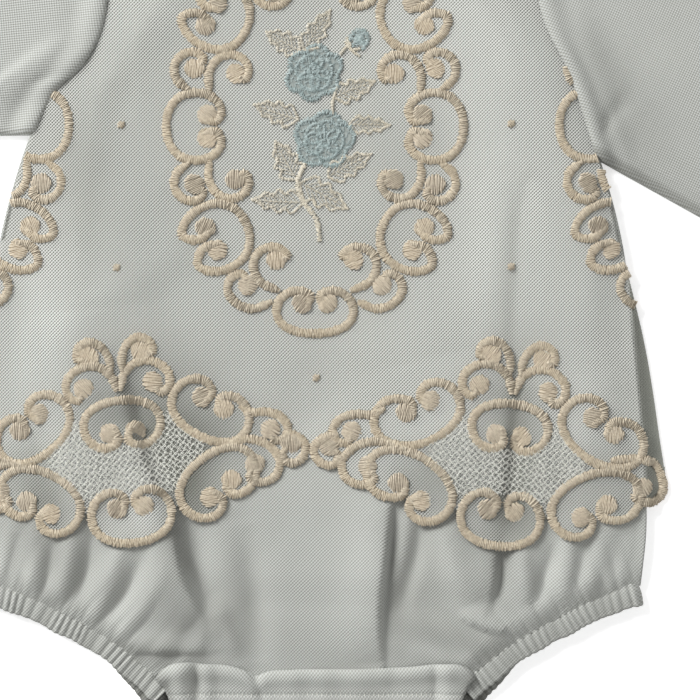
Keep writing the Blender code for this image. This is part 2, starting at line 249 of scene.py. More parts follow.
SIDE_TABLE = np.array([
    # level, left x, left y, right x, right y, how far the tulle reaches past the knit
    (0.0, -156.0, -145.5, 152.5, -146.0, 0.0),
    (0.5, -160.5, -124.0, 155.2, -124.0, 4.0),
    (1.0, -160.8, -101.0, 155.3, -101.0, 10.0),
    (1.5, -159.0, -70.0, 153.3, -70.0, 9.0),
    (2.0, -155.2, -30.0, 149.2, -30.0, 6.0),
    (2.5, -149.0, 15.0, 144.2, 14.0, 0.0),
    (2.75, -142.6, 41.0, 139.4, 34.5, 0.0),
    (3.0, -134.0, 66.4, 133.2, 55.0, 0.0),
    (3.2, -123.8, 86.8, 125.8, 79.0, 0.0),
    (3.4, -111.5, 97.8, 118.5, 98.5, 0.0),
    (3.6, -101.2, 118.0, 108.2, 120.0, 0.0),
    (3.8, -98.2, 152.0, 101.0, 154.0, 0.0),
    (4.0, -97.0, 190.5, 97.0, 190.5, 0.0),
])


@dataclass(frozen=True)
class Plan:
    """The garment's flat plan: its outline, its openings and where it sits in the frame."""

    neck_half: float = 47.0
    neck_point_y: float = 206.5
    shoulder_x: float = 97.0
    shoulder_y: float = 190.5
    front_neck: NeckEdge = NeckEdge(36.0, 2.5)
    back_neck: NeckEdge = NeckEdge(9.5, 2.0)
    crotch_half: float = 64.5
    crotch_blend: float = 13.0
    front_crotch_y: float = -202.0
    back_crotch_y: float = -192.2
    band_top_y: float = -185.0
    band_fold_y: float = -203.5
    band_top_half: float = 75.0
    band_fold_half: float = 67.5
    casing_width: float = 11.0
    casing_thickness: float = 3.0
    leg_tuck: float = 1.7
    hem_bend_top: float = -30.0
    hem_y: float = -101.0
    legs: tuple[Leg, Leg] = (
        Leg(Side.LEFT, 153.5, -150.5, 15.0, 45.0, 95.0, 0.85, 15.0),
        Leg(Side.RIGHT, 150.0, -151.0, 17.0, 42.0, 92.0, 0.85, 10.0),
    )

    def shift(self) -> tuple[float, float]:
        """Where the plan's origin lies in the frame, in metres."""
        low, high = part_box("neck_binding")
        return (low[0] + high[0]) / 2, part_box("crotch_band")[1][1] - self.band_top_y * MM

    def place(self, x: Array, y: Array, z: Array) -> Array:
        """Points of the frame, in metres, for points of the plan, in millimetres.

        Args:
            x: Plan x.
            y: Plan y.
            z: Height above the surface.

        Returns:
            The points, with x, y and z along the last axis.
        """
        x, y, z = np.broadcast_arrays(x, y, z)
        dx, dy = SHIFT
        return np.stack([x * MM + dx, y * MM + dy, z * MM], axis=-1)

    def sides(self, level: Array) -> Array:
        """Columns of the side table at any level."""
        return flowing(SIDE_TABLE[:, 0], SIDE_TABLE[:, 1:], level)

    def side_x(self, y: Array, side: Side) -> Array:
        """The body's side at a height up the body.

        Args:
            y: Height up the body.
            side: Which side.

        Returns:
            The side's x.
        """
        rows = self.sides(np.linspace(0.0, 4.0, 400))
        columns = (2, 3) if side is Side.RIGHT else (0, 1)
        return np.interp(y, rows[:, columns[1]], rows[:, columns[0]])

    def neck_line(self, x: Array, neck: NeckEdge) -> Array:
        """Height of a neck edge."""
        reach = np.minimum(np.abs(x) / self.neck_half, 1.0)
        return self.neck_point_y - neck.drop * (1.0 - reach**neck.power)

    def top_line(self, x: Array, neck: NeckEdge) -> Array:
        """Height of a panel's top edge: the neck, then the shoulder's slope.

        Args:
            x: Where to read it.
            neck: The panel's neck edge.

        Returns:
            The edge's y.
        """
        share = (np.abs(x) - self.neck_half) / (self.shoulder_x - self.neck_half)
        slope = mix(self.neck_point_y, self.shoulder_y, np.clip(share, 0.0, 1.0))
        return np.where(np.abs(x) <= self.neck_half, self.neck_line(x, neck), slope)

    def leg_edge(self, x: Array) -> Array:
        """Height of the panels' leg edge, tucked under the casing's inner edge."""
        offset = self.casing_width / 2 - self.leg_tuck
        return np.where(x > 0, self.legs[1].edge(x, offset), self.legs[0].edge(x, offset))

    def bottom_line(self, x: Array, crotch_y: float) -> Array:
        """Height of a panel's bottom edge: the leg edges and the crotch between them."""
        inside = blend(0.0, self.crotch_blend, self.crotch_half - np.abs(x))
        return mix(self.leg_edge(x), crotch_y, inside)

    def straight(self, across: Array, level: Array) -> tuple[Array, Array]:
        """Point on the straight line between the two sides at a level.

        Args:
            across: -1 at the left side, 1 at the right.
            level: Level up the body.

        Returns:
            The point's x and y.
        """
        rows = self.sides(level)
        share = (across + 1.0) / 2.0
        return mix(rows[..., 0], rows[..., 2], share), mix(rows[..., 1], rows[..., 3], share)

    def neck_bend(self, x: Array, level: Array, neck: NeckEdge) -> Array:
        """How far a row near the top moves to follow the neck and the shoulders."""
        return blend(3.3, 4.0, level) * (self.top_line(x, neck) - self.shoulder_y)

    def body(
        self, across: Array, level: Array, neck: NeckEdge, crotch_y: float
    ) -> tuple[Array, Array]:
        """Plan point of a knit panel.

        Args:
            across: -1 at the left side, 1 at the right.
            level: Level up the body.
            neck: The panel's neck edge.
            crotch_y: Its crotch edge.

        Returns:
            The point's x and y.
        """
        x, y = self.straight(across, level)
        low_y = self.straight(across, np.zeros_like(level))[1]
        low_bend = (1.0 - blend(0.0, 1.3, level)) * (self.bottom_line(x, crotch_y) - low_y)
        return x, y + self.neck_bend(x, level, neck) + low_bend


PLAN = Plan()
SHIFT = PLAN.shift()


# ---------------------------------------------------------------- folds and heights


@dataclass(frozen=True)
class Fold:
    """A soft ridge (rise above 0) or trough along a path, with its own width on each side."""

    STEP = 2.0
    SPREAD = 3.0
    TAPER = 0.6
    END_SHARE = 0.25

    path: tuple[Point, ...]
    rise: float
    left: float
    right: float

    def height(self, x: Array, y: Array) -> Array:
        """What the fold adds to the cloth's height.

        Args:
            x: Plan x.
            y: Plan y.

        Returns:
            Height in millimetres.
        """
        line = drawn(self.path, self.STEP)
        heading = np.gradient(line, axis=0)
        heading /= np.hypot(heading[:, 0], heading[:, 1])[:, None]
        reach = self.SPREAD * max(self.left, self.right)
        low, high = line.min(axis=0) - reach, line.max(axis=0) + reach
        near = (x > low[0]) & (x < high[0]) & (y > low[1]) & (y < high[1])
        whole = np.zeros(np.shape(x))
        x, y = x[near], y[near]
        best = np.full(np.shape(x), 1e9)
        found = np.zeros(np.shape(x))
        last = len(line) - 1
        for i, (point, way) in enumerate(zip(line, heading)):
            dx, dy = x - point[0], y - point[1]
            side = way[0] * dy - way[1] * dx
            width = np.where(side > 0, self.left, self.right)
            away = (dx**2 + dy**2) / width**2
            taper = sin(pi * i / last) ** self.TAPER if 0 < i < last else self.END_SHARE
            found = np.where(away < best, self.rise * taper * np.exp(-away), found)
            best = np.minimum(away, best)
        whole[near] = found
        return whole


BLOOMER_FOLDS = (
    # Right leg: a crisp edge beside the middle, a slim ridge, a broad dome and a deep dip
    Fold(((35, -102), (32, -130), (29.5, -152), (29, -168), (30.5, -184)), 4.4, 1.7, 16.0),
    Fold(((37, -104), (34.5, -132), (32, -152), (32.5, -176)), -2.4, 8.5, 1.6),
    Fold(((44, -108), (41.5, -126), (36.5, -148)), 1.7, 3.4, 3.4),
    Fold(((50.5, -112), (47, -134), (40, -156)), -2.4, 3.6, 4.5),
    Fold(((58, -114), (64, -134), (74, -156)), 4.4, 11.0, 6.0),
    Fold(((82.5, -124), (82.5, -142), (80, -156)), 1.8, 1.6, 8.0),
    Fold(((87, -124), (86.5, -142), (83.5, -154)), -3.4, 4.5, 1.8),
    Fold(((66, -159.5), (79, -165.5), (92, -168.5)), 2.6, 6.0, 1.3),
    Fold(((40, -160), (60, -168), (82, -178)), 1.8, 6.0, 7.0),
    Fold(((42, -176), (58, -180), (74, -184)), 1.2, 4.0, 5.0),
    Fold(((97, -122), (98, -142), (101, -157)), 2.8, 4.5, 5.5),
    Fold(((113, -126), (107, -143), (101, -159)), -2.4, 3.6, 4.0),
    Fold(((118, -120), (118, -140), (114.5, -154)), 2.4, 4.5, 5.0),
    Fold(((127, -122), (124, -138), (120, -151)), -1.6, 3.6, 4.0),
    Fold(((135, -118), (132, -136), (128, -149)), 1.8, 4.6, 5.0),
    Fold(((144, -118), (141, -134), (138, -146)), -1.2, 4.0, 4.0),
    # Left leg: a steep ridge and its valley, then ridges that fan out to the casing
    Fold(((-77, -108), (-73, -134), (-66, -152), (-56, -166)), 4.2, 7.0, 10.0),
    Fold(((-69.5, -108), (-66, -132), (-61, -148), (-53, -162)), 2.2, 1.3, 4.0),
    Fold(((-62, -108), (-57, -136), (-48, -162)), -4.4, 9.0, 4.0),
    Fold(((-50, -150), (-43, -166), (-36, -181)), 2.6, 4.5, 5.0),
    Fold(((-35, -116), (-29, -150), (-27, -185)), -2.4, 7.0, 7.0),
    Fold(((-74, -142), (-84, -158), (-95, -169)), 2.0, 4.5, 6.0),
    Fold(((-80, -130), (-89, -148), (-99, -163)), -2.0, 4.0, 4.0),
    Fold(((-89, -124), (-97, -144), (-105, -159)), 2.6, 4.5, 5.0),
    Fold(((-105, -118), (-108, -140), (-113, -158)), -2.6, 4.0, 3.6),
    Fold(((-114, -118), (-117, -138), (-121, -155)), 2.4, 4.0, 4.0),
    Fold(((-122, -122), (-126, -140), (-129, -153)), -2.2, 3.4, 3.4),
    Fold(((-131, -118), (-133, -136), (-136, -151)), 2.0, 4.0, 4.0),
    Fold(((-141, -120), (-141, -136), (-143, -149)), -1.6, 3.4, 3.4),
    Fold(((-99, -171), (-89, -177), (-78, -176.6), (-49, -176.8)), 2.6, 7.0, 1.3),
)

BODICE_FOLDS = (
    Fold(((-60, 140), (-84, 110), (-100, 84)), 1.3, 8.0, 9.0),
    Fold(((62, 150), (88, 118), (108, 86)), 1.2, 8.0, 8.0),
    Fold(((-120, 40), (-96, 20), (-84, -20)), 1.0, 10.0, 12.0),
    Fold(((104, 185), (119, 90), (127, 10), (128, -50)), 5.4, 11.0, 60.0),
    Fold(((-88, 185), (-100, 90), (-108, 10), (-112, -50)), 3.4, 52.0, 14.0),
    Fold(((6, 170), (14, 70), (20, -40)), -1.4, 24.0, 24.0),
    Fold(((-92, 118), (-89, 95), (-90, 70)), -0.9, 5.0, 5.0),
)

TULLE_FOLDS = (
    Fold(((98, 40), (97.5, 12), (96.5, -26), (95, -54)), -2.2, 7.0, 4.6),
    Fold(((88, 50), (84, 5), (80, -44)), 1.4, 9.0, 8.0),
    Fold(((-96, -26), (-78, -66), (-62, -112)), -1.8, 12.0, 14.0),
    Fold(((-132, -30), (-120, -26), (-92, -8), (-58, 17)), 1.1, 9.0, 10.0),
    Fold(((-110, -14), (-106, -48), (-101, -82), (-98, -114)), 3.6, 32.0, 18.0),
    Fold(((60, -36), (66, -64), (68, -92), (68, -116)), 2.8, 22.0, 30.0),
    Fold(((134, -30), (136, -70), (136, -112)), 1.8, 12.0, 22.0),
    Fold(((-92, -48), (-87, -70), (-80, -90), (-71, -110)), 2.8, 1.8, 10.0),
    Fold(((-84, -52), (-79, -74), (-68, -100)), -2.2, 9.0, 4.0),
    Fold(((-130, -70), (-124, -92), (-116, -112)), -1.4, 5.0, 5.0),
    Fold(((-26, -60), (-30, -84), (-34, -100)), 1.2, 9.0, 10.0),
    Fold(((90, -58), (88, -88), (86, -120)), 1.8, 2.6, 8.0),
    Fold(((95, -58), (93, -88), (91, -118)), -1.8, 5.0, 3.0),
    Fold(((106, -54), (106, -90), (104, -118)), 1.2, 8.0, 7.0),
    Fold(((-148, 20), (-150, -20), (-154, -60)), 1.0, 8.0, 8.0),
)


@dataclass(frozen=True)
class Patch:
    """A soft oval patch of painted shade (amount above 0) or painted light (below 0) on a cloth's
    colour.
    """

    x: float
    y: float
    across: float
    up: float
    turn: float
    amount: float

    def depth(self, x: Array, y: Array) -> Array:
        """The patch's amount at plan points.

        Args:
            x: Plan x.
            y: Plan y.

        Returns:
            The amount at each point.
        """
        c, s = cos(radians(self.turn)), sin(radians(self.turn))
        dx, dy = x - self.x, y - self.y
        along, beside = (dx * c + dy * s) / self.across, (dy * c - dx * s) / self.up
        return self.amount * np.exp(-(along**2) - beside**2)


# Painted light and painted shade on the net's colour
NET_PAINTED_LIGHT_AND_SHADE = (
    # Painted light: patches where the net's colour is paled, over the bright right of the bodice
    # and in a few spots
    Patch(82, 96, 34, 46, 0, -0.11),
    Patch(100, 70, 15, 60, 0, -0.08),
    Patch(76, 20, 20, 34, 0, -0.11),
    Patch(121, 22, 14, 34, 0, -0.13),
    Patch(128, -30, 18, 44, 0, -0.08),
    Patch(-138, -24, 17, 34, 0, -0.18),
    Patch(-86, -98, 8, 22, 16, -0.34),
    # Painted shade: the net's colour deepened over the hollows at the legs
    Patch(-96, -64, 19, 19, 0, 0.48),
    Patch(-66, -76, 20, 22, 0, 0.66),
    Patch(-60, -100, 12, 26, 20, 0.58),
    Patch(-40, -74, 20, 16, 0, 0.32),
    Patch(-127, -112, 13, 14, 0, 0.44),
    Patch(-136, -92, 13, 15, 0, 0.32),
    Patch(-66, -46, 28, 14, 0, 0.16),
    Patch(94, -72, 13, 30, 0, 0.60),
    Patch(92, -108, 12, 20, 0, 0.54),
    Patch(52, -96, 18, 18, 0, 0.34),
    # A little painted shade beside the left armhole and inside the medallion
    Patch(-88, 100, 20, 36, 0, 0.10),
    Patch(-112, 52, 15, 40, 0, 0.30),
    Patch(-72, 34, 30, 30, 0, 0.07),
    Patch(34, 58, 16, 38, 0, 0.16),
    Patch(54, 52, 12, 40, 0, 0.16),
    Patch(30, 10, 16, 22, 0, 0.16),
)

# Painted shade on the knit's colour
KNIT_PAINTED_SHADE = (
    # Painted shade in the hollows of the legs
    Patch(-62, -132, 5, 28, 26, 0.46),
    Patch(-76, -112, 14, 12, 0, 0.30),
    Patch(-108, -136, 22, 20, 0, 0.17),
    Patch(-66, -150, 10, 26, 0, 0.20),
    Patch(-62, -164, 18, 11, 0, 0.34),
    Patch(-122, -134, 15, 18, 0, 0.20),
    Patch(-84, -176, 24, 5, -6, 0.36),
    Patch(-38, -152, 12, 30, -6, 0.24),
    Patch(37, -140, 5, 34, 2, 0.32),
    Patch(46, -142, 9, 26, -8, 0.18),
    Patch(86, -130, 9, 22, 2, 0.48),
    Patch(52, -160, 20, 18, 0, 0.16),
    Patch(70, -172, 20, 7, -20, 0.20),
    Patch(60, -118, 30, 12, 0, 0.16),
    # Painted shade on the sleeves, beside the armholes
    Patch(139, 78, 6, 10, -36, 0.12),
    Patch(150, 66, 20, 18, 0, 0.24),
    Patch(134, 98, 9, 24, 34, 0.20),
    Patch(-112, 92, 11, 16, 0, 0.16),
    # Painted shade under the net at the left hem, and low on the front beside the middle
    Patch(-68, -78, 27, 30, 0, 0.34),
    Patch(-137, -118, 13, 14, 0, 0.26),
    Patch(-19, -168, 15, 14, 0, 0.08),
    Patch(18, -181, 42, 8, 0, 0.10),
)


def painted_shade_depth(x: Array, y: Array, patches: Sequence[Patch]) -> Array:
    """How dark a cloth's painted shade is at plan points; below 0 it is painted light."""
    return sum(patch.depth(x, y) for patch in patches)


class HeightGrid:
    """Heights on a square grid over the plan, read between its points."""

    low_x, low_y, step = -182.0, -216.0, 1.25
    wide, high = 293, 355
    edge_share = 0.001

    def __init__(self, heights: Array) -> None:
        """Keeps the heights, one row for each y."""
        self.heights = heights

    @classmethod
    def mesh(cls) -> tuple[Array, Array]:
        """Plan x and y of the grid's points.

        Returns:
            Plan x and plan y, with one row for each y.
        """
        xs = cls.low_x + cls.step * np.arange(cls.wide)
        ys = cls.low_y + cls.step * np.arange(cls.high)
        return np.meshgrid(xs, ys)

    def swollen(self, cells: int) -> "HeightGrid":
        """The highest value within a number of cells of each point.

        Args:
            cells: The number of cells.

        Returns:
            The swollen heights.
        """
        found = self.heights
        for axis in (0, 1):
            near = [np.roll(found, shift, axis) for shift in range(-cells, cells + 1)]
            found = np.max(near, axis=0)
        return HeightGrid(found)

    def softened(self, passes: int) -> "HeightGrid":
        """The heights with their sharp changes worn down.

        Args:
            passes: How many times they are worn.

        Returns:
            The softened heights.
        """
        found = self.heights
        for _ in range(passes):
            for axis in (0, 1):
                found = (np.roll(found, 1, axis) + 2 * found + np.roll(found, -1, axis)) / 4
        return HeightGrid(found)

    def at(self, x: Array, y: Array) -> Array:
        """Height at any plan point.

        Args:
            x: Plan x.
            y: Plan y.

        Returns:
            Height in millimetres.
        """
        last_u, last_v = (count - 1 - self.edge_share for count in (self.wide, self.high))
        u = np.clip((np.asarray(x, float) - self.low_x) / self.step, 0, last_u)
        v = np.clip((np.asarray(y, float) - self.low_y) / self.step, 0, last_v)
        i, j = u.astype(int), v.astype(int)
        s, t = u - i, v - j
        h = self.heights
        low = h[j, i] * (1 - s) + h[j, i + 1] * s
        return low * (1 - t) + (h[j + 1, i] * (1 - s) + h[j + 1, i + 1] * s) * t


@dataclass
class Heights:
    """Where each layer lies above the surface, in millimetres."""

    wall: float = 1.0
    seam_gap: float = 0.3
    bodice_loft: float = 2.0
    bodice_low: float = -60.0
    bloomer_loft: float = 5.4
    bloomer_top: float = -110.0
    crotch_share: float = 0.45
    least_loft: float = 1.2
    least_lift: float = 0.4
    crotch_lift: float = 2.3
    leg_lift: float = 2.9
    pucker_lift: float = 1.2
    pleat_rise: float = 1.3
    pleat_reach: float = 5.0
    fold_rise: float = 2.4
    swell_rise: float = 1.5
    back_step: tuple[float, float] = (-158.0, -140.0)
    tulle_gap: float = 0.5
    least_gap: float = 0.25
    tulle_ripple: float = 0.35
    flare_z: float = 1.6
    flare_run: float = 6.0
    front: HeightGrid = field(init=False)
    tulle: HeightGrid = field(init=False)

    def __post_init__(self) -> None:
        """Works out the front's height, then the tulle that lies over it."""
        x, y = HeightGrid.mesh()
        self.front = HeightGrid(self._front(x, y))
        over = self.front.swollen(3).softened(18).heights + self.wall + self.tulle_gap
        for fold in TULLE_FOLDS:
            over = over + fold.height(x, y)
        ripple = self.tulle_ripple * np.sin(x / 9.0 + 1.3 * np.sin(y / 23.0))
        over = over + ripple * blend(-20.0, -80.0, y)
        over = np.maximum(over, self.front.heights + self.wall + self.least_gap)
        past = np.maximum(x - PLAN.side_x(y, Side.RIGHT), PLAN.side_x(y, Side.LEFT) - x)
        self.tulle = HeightGrid(mix(over, self.flare_z, blend(0.0, self.flare_run, past)))

    def back(self, y: Array) -> Array:
        """Height of the knit back's underside."""
        return (self.wall + self.seam_gap) * blend(*self.back_step, y)

    def _gathers(self, x: Array, y: Array) -> tuple[Array, Array]:
        """Folds that run up from the leg casings, and the pleats right at the casings.

        Args:
            x: Plan x.
            y: Plan y.

        Returns:
            The folds' height, and how far the cloth stands at the casing, from 0 to 1.
        """
        total, edge = np.zeros(np.shape(x)), np.zeros(np.shape(x))
        for leg in PLAN.legs:
            distance, offset = leg.locate(x, y)
            above = np.maximum(offset - PLAN.casing_width / 2, 0.0)
            lean = distance + 1.8 * np.sin(above / 11.0 + distance / 23.0)
            pucker = leg.pucker(distance)
            middle = np.abs(np.sin(pi * (lean / 8.6 + 0.30 * np.sin(lean / 9.0)))) ** 0.8
            large = np.abs(np.sin(pi * (lean / 17.0 + 0.25 * np.sin(lean / 15.0 + 1.0))))
            fold_rise, swell_rise = leg.fullness * self.fold_rise, leg.fullness * self.swell_rise
            wave = self.pleat_rise * pucker * np.exp(-above / self.pleat_reach)
            wave = wave + fold_rise * middle * np.exp(-above / leg.reach)
            wave = wave + swell_rise * large * np.exp(-above / (2.0 * leg.reach))
            past_end = blend(leg.length - 6.0, leg.length + 4.0, distance)
            share = blend(-8.0, 4.0, distance) * (1.0 - past_end)
            near = x * leg.side.value > 0
            total = total + np.where(near, wave * share, 0.0)
            edge = edge + np.where(near, pucker, 0.0)
        return total, edge

    def _front(self, x: Array, y: Array) -> Array:
        """Height of the knit front's underside.

        Args:
            x: Plan x.
            y: Plan y.

        Returns:
            Height in millimetres.
        """
        left, right = PLAN.side_x(y, Side.LEFT), PLAN.side_x(y, Side.RIGHT)
        across = np.minimum(np.abs(2 * x - left - right) / (right - left), 1.0)
        full = (1.0 - across**8) * blend(0.0, 40.0, PLAN.top_line(x, PLAN.front_neck) - y)
        up_body = blend(self.bloomer_top, self.bodice_low, y)
        loft = mix(self.bloomer_loft, self.bodice_loft, up_body) * full
        loft = loft * mix(self.crotch_share, 1.0, blend(0.0, 45.0, y - PLAN.front_crotch_y))
        above = y - PLAN.bottom_line(x, PLAN.front_crotch_y)
        on_leg = blend(-12.0, 6.0, np.abs(x) - PLAN.crotch_half)
        rise = np.zeros(np.shape(x))
        for fold in (*BLOOMER_FOLDS, *BODICE_FOLDS):
            rise = rise + fold.height(x, y)
        rise = rise * (1.0 - across**10) * blend(-1.0, 7.0, above)
        gathers, pucker = self._gathers(x, y)
        puckered = self.leg_lift + self.pucker_lift * pucker
        leg_rise = mix(self.crotch_lift, puckered, on_leg) * (1.0 - across**12)
        free = np.maximum(loft, self.least_loft) + rise + gathers
        free = np.maximum(free, self.least_lift)
        lifted = mix(leg_rise, free, blend(-2.0, 12.0, above))
        return self.back(y) + self.wall + self.seam_gap + lifted


HEIGHTS = Heights()


# ---------------------------------------------------------------- finishes


class NodeTree:
    """A short way to lay out nodes."""

    def __init__(self, tree: bpy.types.NodeTree) -> None:
        """Keeps the tree."""
        self.tree = tree

    def put(self, socket: Socket, value: object) -> None:
        """Links an output into a socket, or sets a plain value there.

        Args:
            socket: The socket.
            value: The output or the plain value.
        """
        if isinstance(value, Socket):
            self.tree.links.new(value, socket)
        else:
            socket.default_value = value

    def add(self, kind: str, settings: dict | None = None, **inputs: object) -> bpy.types.Node:
        """Adds a node.

        Args:
            kind: The node's type.
            settings: Properties of the node.
            inputs: Values or outputs for its sockets, by socket name with _ for a space; in_0,
                in_1 and so on name a socket by its number.

        Returns:
            The node.
        """
        node = self.tree.nodes.new(kind)
        for key, value in (settings or {}).items():
            setattr(node, key, value)
        for key, value in inputs.items():
            socket = int(key[3:]) if key.startswith("in_") else key.replace("_", " ")
            self.put(node.inputs[socket], value)
        return node

    def math(self, operation: str, *terms: object) -> Socket:
        """A sum of one to three values."""
        numbered = {f"in_{i}": term for i, term in enumerate(terms)}
        return self.add("ShaderNodeMath", {"operation": operation}, **numbered).outputs[0]


class Nodes(NodeTree):
    """The nodes of one material."""

    SPECULAR = 0.25
    SHEEN_SPREAD = 0.45

    def __init__(self, name: str) -> None:
        """Makes a material with only its output.

        Args:
            name: The material's name.
        """
        self.material = bpy.data.materials.new(name)
        self.material.use_nodes = True
        super().__init__(self.material.node_tree)
        self.tree.nodes.clear()
        self.out = self.tree.nodes.new("ShaderNodeOutputMaterial")

    def ramp(self, value: Socket, low: float, high: float) -> Socket:
        """A smooth change from 0 to 1.

        Args:
            value: What it follows.
            low: Value where it starts.
            high: Value where it ends.

        Returns:
            The change.
        """
        limits = {"Value": value, "From_Min": low, "From_Max": high}
        node = self.add("ShaderNodeMapRange", {"interpolation_type": "SMOOTHSTEP"}, **limits)
        return node.outputs["Result"]

    def tint(self, share: Socket, first: object, second: object) -> Socket:
        """A colour between two others.

        Args:
            share: How far the colour lies on the way to the second.
            first: A colour, as an output or as red, green and blue.
            second: The other colour.

        Returns:
            The colour.
        """
        node = self.add("ShaderNodeMix", {"data_type": "RGBA"})
        for number, value in ((0, share), (6, first), (7, second)):
            self.put(node.inputs[number], (*value, 1.0) if isinstance(value, tuple) else value)
        return node.outputs[2]

    def noise(self, scale: float, detail: float = 2.0) -> Socket:
        """Noise in the piece's own space.

        Args:
            scale: How fine it is, for each metre.
            detail: How many finer layers it has.

        Returns:
            The noise, from 0 to 1.
        """
        place = self.add("ShaderNodeTexCoord").outputs["Object"]
        node = self.add("ShaderNodeTexNoise", Vector=place, Scale=scale, Detail=detail)
        return node.outputs["Fac"]

    def weave(self) -> tuple[Socket, Socket]:
        """The cloth's own flat coordinates, in metres, from its weave map.

        Returns:
            The coordinate across and the one along.
        """
        place = self.add("ShaderNodeUVMap", {"uv_map": "weave"}).outputs["UV"]
        split = self.add("ShaderNodeSeparateXYZ", Vector=place)
        return split.outputs[0], split.outputs[1]

    def depth(self) -> Socket:
        """How dark the cloth's painted shade is, from its shade attribute."""
        return self.add("ShaderNodeAttribute", {"attribute_name": "shade"}).outputs["Fac"]

    def cloth(
        self, colour: Socket, relief: Socket, depth: float, roughness: float, sheen: float
    ) -> bpy.types.Node:
        """The shader that all the cloths and threads share.

        Args:
            colour: Its colour.
            relief: Height of its surface, from 0 to about 1.
            depth: Depth of the relief, in metres.
            roughness: Its roughness.
            sheen: How much its fuzz catches the light.

        Returns:
            The shader.
        """
        shader = self.add("ShaderNodeBsdfPrincipled", Base_Color=colour, Roughness=roughness)
        shader.inputs["Specular IOR Level"].default_value = self.SPECULAR
        shader.inputs["Sheen Weight"].default_value = sheen
        shader.inputs["Sheen Roughness"].default_value = self.SHEEN_SPREAD
        bumped = self.add("ShaderNodeBump", Height=relief, Strength=1.0, Distance=depth)
        self.tree.links.new(bumped.outputs["Normal"], shader.inputs["Normal"])
        return shader

    def finish(self, shader: bpy.types.Node) -> Material:
        """Ends the material in a shader."""
        self.tree.links.new(shader.outputs[0], self.out.inputs["Surface"])
        return self.material


DRIFT = 0.9
DRIFT_SCALE = 38.0


def lattice(nodes: Nodes, pitch: float) -> tuple[Socket, Socket]:
    """Two waves that cross on the bias.

    Args:
        nodes: The material.
        pitch: Distance from one thread to the next, square to them, in metres.

    Returns:
        Each wave, from 0 between threads to 1 on a thread.
    """
    u, v = nodes.weave()
    drift = nodes.math("SUBTRACT", nodes.noise(DRIFT_SCALE), 0.5)
    drift = nodes.math("MULTIPLY", drift, pitch * DRIFT)
    waves = []
    for sign in ("ADD", "SUBTRACT"):
        line = nodes.math("ADD", nodes.math(sign, u, v), drift)
        turn = nodes.math("MULTIPLY", line, 2 * pi / pitch / 2**0.5)
        waves.append(nodes.math("MULTIPLY_ADD", nodes.math("SINE", turn), 0.5, 0.5))
    return waves[0], waves[1]


@dataclass(frozen=True)
class KnitFinish:
    """Fine cotton knit with a small texture on the bias, stronger along one way than the other,
    darkened towards a painted shade colour by its shade attribute.
    """

    light: Colour = (0.566, 0.581, 0.561)
    dark: Colour = (0.306, 0.309, 0.273)
    # How dark the painted shade is, as a share of the dark colour
    painted_shade: float = 0.44
    pitch: float = 1.12 * MM
    depth: float = 0.22 * MM
    one_way: float = 0.46
    cell: tuple[float, float] = (0.12, 0.82)
    clouding: float = 0.22
    cloud_scale: float = 26.0
    fuzz: float = 0.5
    fuzz_scale: float = 2600.0
    roughness: float = 0.92
    sheen: float = 0.18

    def material(self, name: str) -> Material:
        """Builds the finish.

        Args:
            name: The material's name.

        Returns:
            The material.
        """
        nodes = Nodes(name)
        first, second = lattice(nodes, self.pitch)
        along = nodes.math("MULTIPLY", first, self.one_way)
        across = nodes.math("MULTIPLY", second, 1.0 - self.one_way)
        raised = nodes.ramp(nodes.math("ADD", along, across), *self.cell)
        cloud = nodes.math("MULTIPLY", nodes.noise(self.cloud_scale, 3.0), self.clouding)
        shade = nodes.math("ADD", nodes.math("MULTIPLY", raised, 1.0 - self.clouding), cloud)
        # Painted shade: the deepest colour that the shade attribute darkens the knit towards
        deepest = tuple(self.painted_shade * part for part in self.dark)
        colour = nodes.tint(nodes.depth(), nodes.tint(shade, self.dark, self.light), deepest)
        fuzz = nodes.math("MULTIPLY", nodes.noise(self.fuzz_scale), self.fuzz)
        relief = nodes.math("ADD", raised, fuzz)
        return nodes.finish(nodes.cloth(colour, relief, self.depth, self.roughness, self.sheen))


@dataclass(frozen=True)
class TulleFinish:
    """Fine net of pale thread on the bias, darkened towards a painted shadow colour where it flares
    off the knit.
    """

    thread: Colour = (0.75, 0.755, 0.722)
    thread_low: float = 0.86
    # Painted shadow: the net's colour, and what shows through its holes, where it flares off the
    # knit
    painted_shadow: Colour = (0.25, 0.255, 0.225)
    hole: Colour = (0.99, 1.0, 0.985)
    painted_shadow_hole: Colour = (0.58, 0.59, 0.56)
    pitch: float = 1.12 * MM
    depth: float = 0.09 * MM
    cover: tuple[float, float] = (0.52, 0.84)
    one_way: float = 0.82
    strand: tuple[float, float] = (0.6, 1.7)
    clouding: float = 0.9
    cloud_scale: float = 34.0
    roughness: float = 0.8
    sheen: float = 0.12

    def material(self, name: str) -> Material:
        """Builds the finish.

        Args:
            name: The material's name.

        Returns:
            The material.
        """
        nodes = Nodes(name)
        first, second = lattice(nodes, self.pitch)
        top = nodes.math("MAXIMUM", nodes.math("MULTIPLY", first, self.one_way), second)
        body = nodes.math("ADD", top, nodes.math("MULTIPLY", first, second))
        cloud = nodes.math("SUBTRACT", nodes.noise(self.cloud_scale, 3.0), 0.5)
        cloud = nodes.math("MULTIPLY", cloud, self.clouding)
        low = tuple(self.thread_low * part for part in self.thread)
        share = nodes.math("ADD", nodes.ramp(body, *self.strand), cloud)
        pale = nodes.tint(share, low, self.thread)
        # The shade attribute: painted shadow past the knit's sides, and painted light and shade
        # elsewhere
        past = nodes.depth()
        colour = nodes.tint(past, pale, self.painted_shadow)
        shader = nodes.cloth(colour, body, self.depth, self.roughness, self.sheen)
        through = nodes.tint(past, self.hole, self.painted_shadow_hole)
        clear = nodes.add("ShaderNodeBsdfTransparent", Color=through).outputs[0]
        shown = nodes.ramp(top, *self.cover)
        layers = {"in_0": shown, "in_1": clear, "in_2": shader.outputs[0]}
        return nodes.finish(nodes.add("ShaderNodeMixShader", **layers))


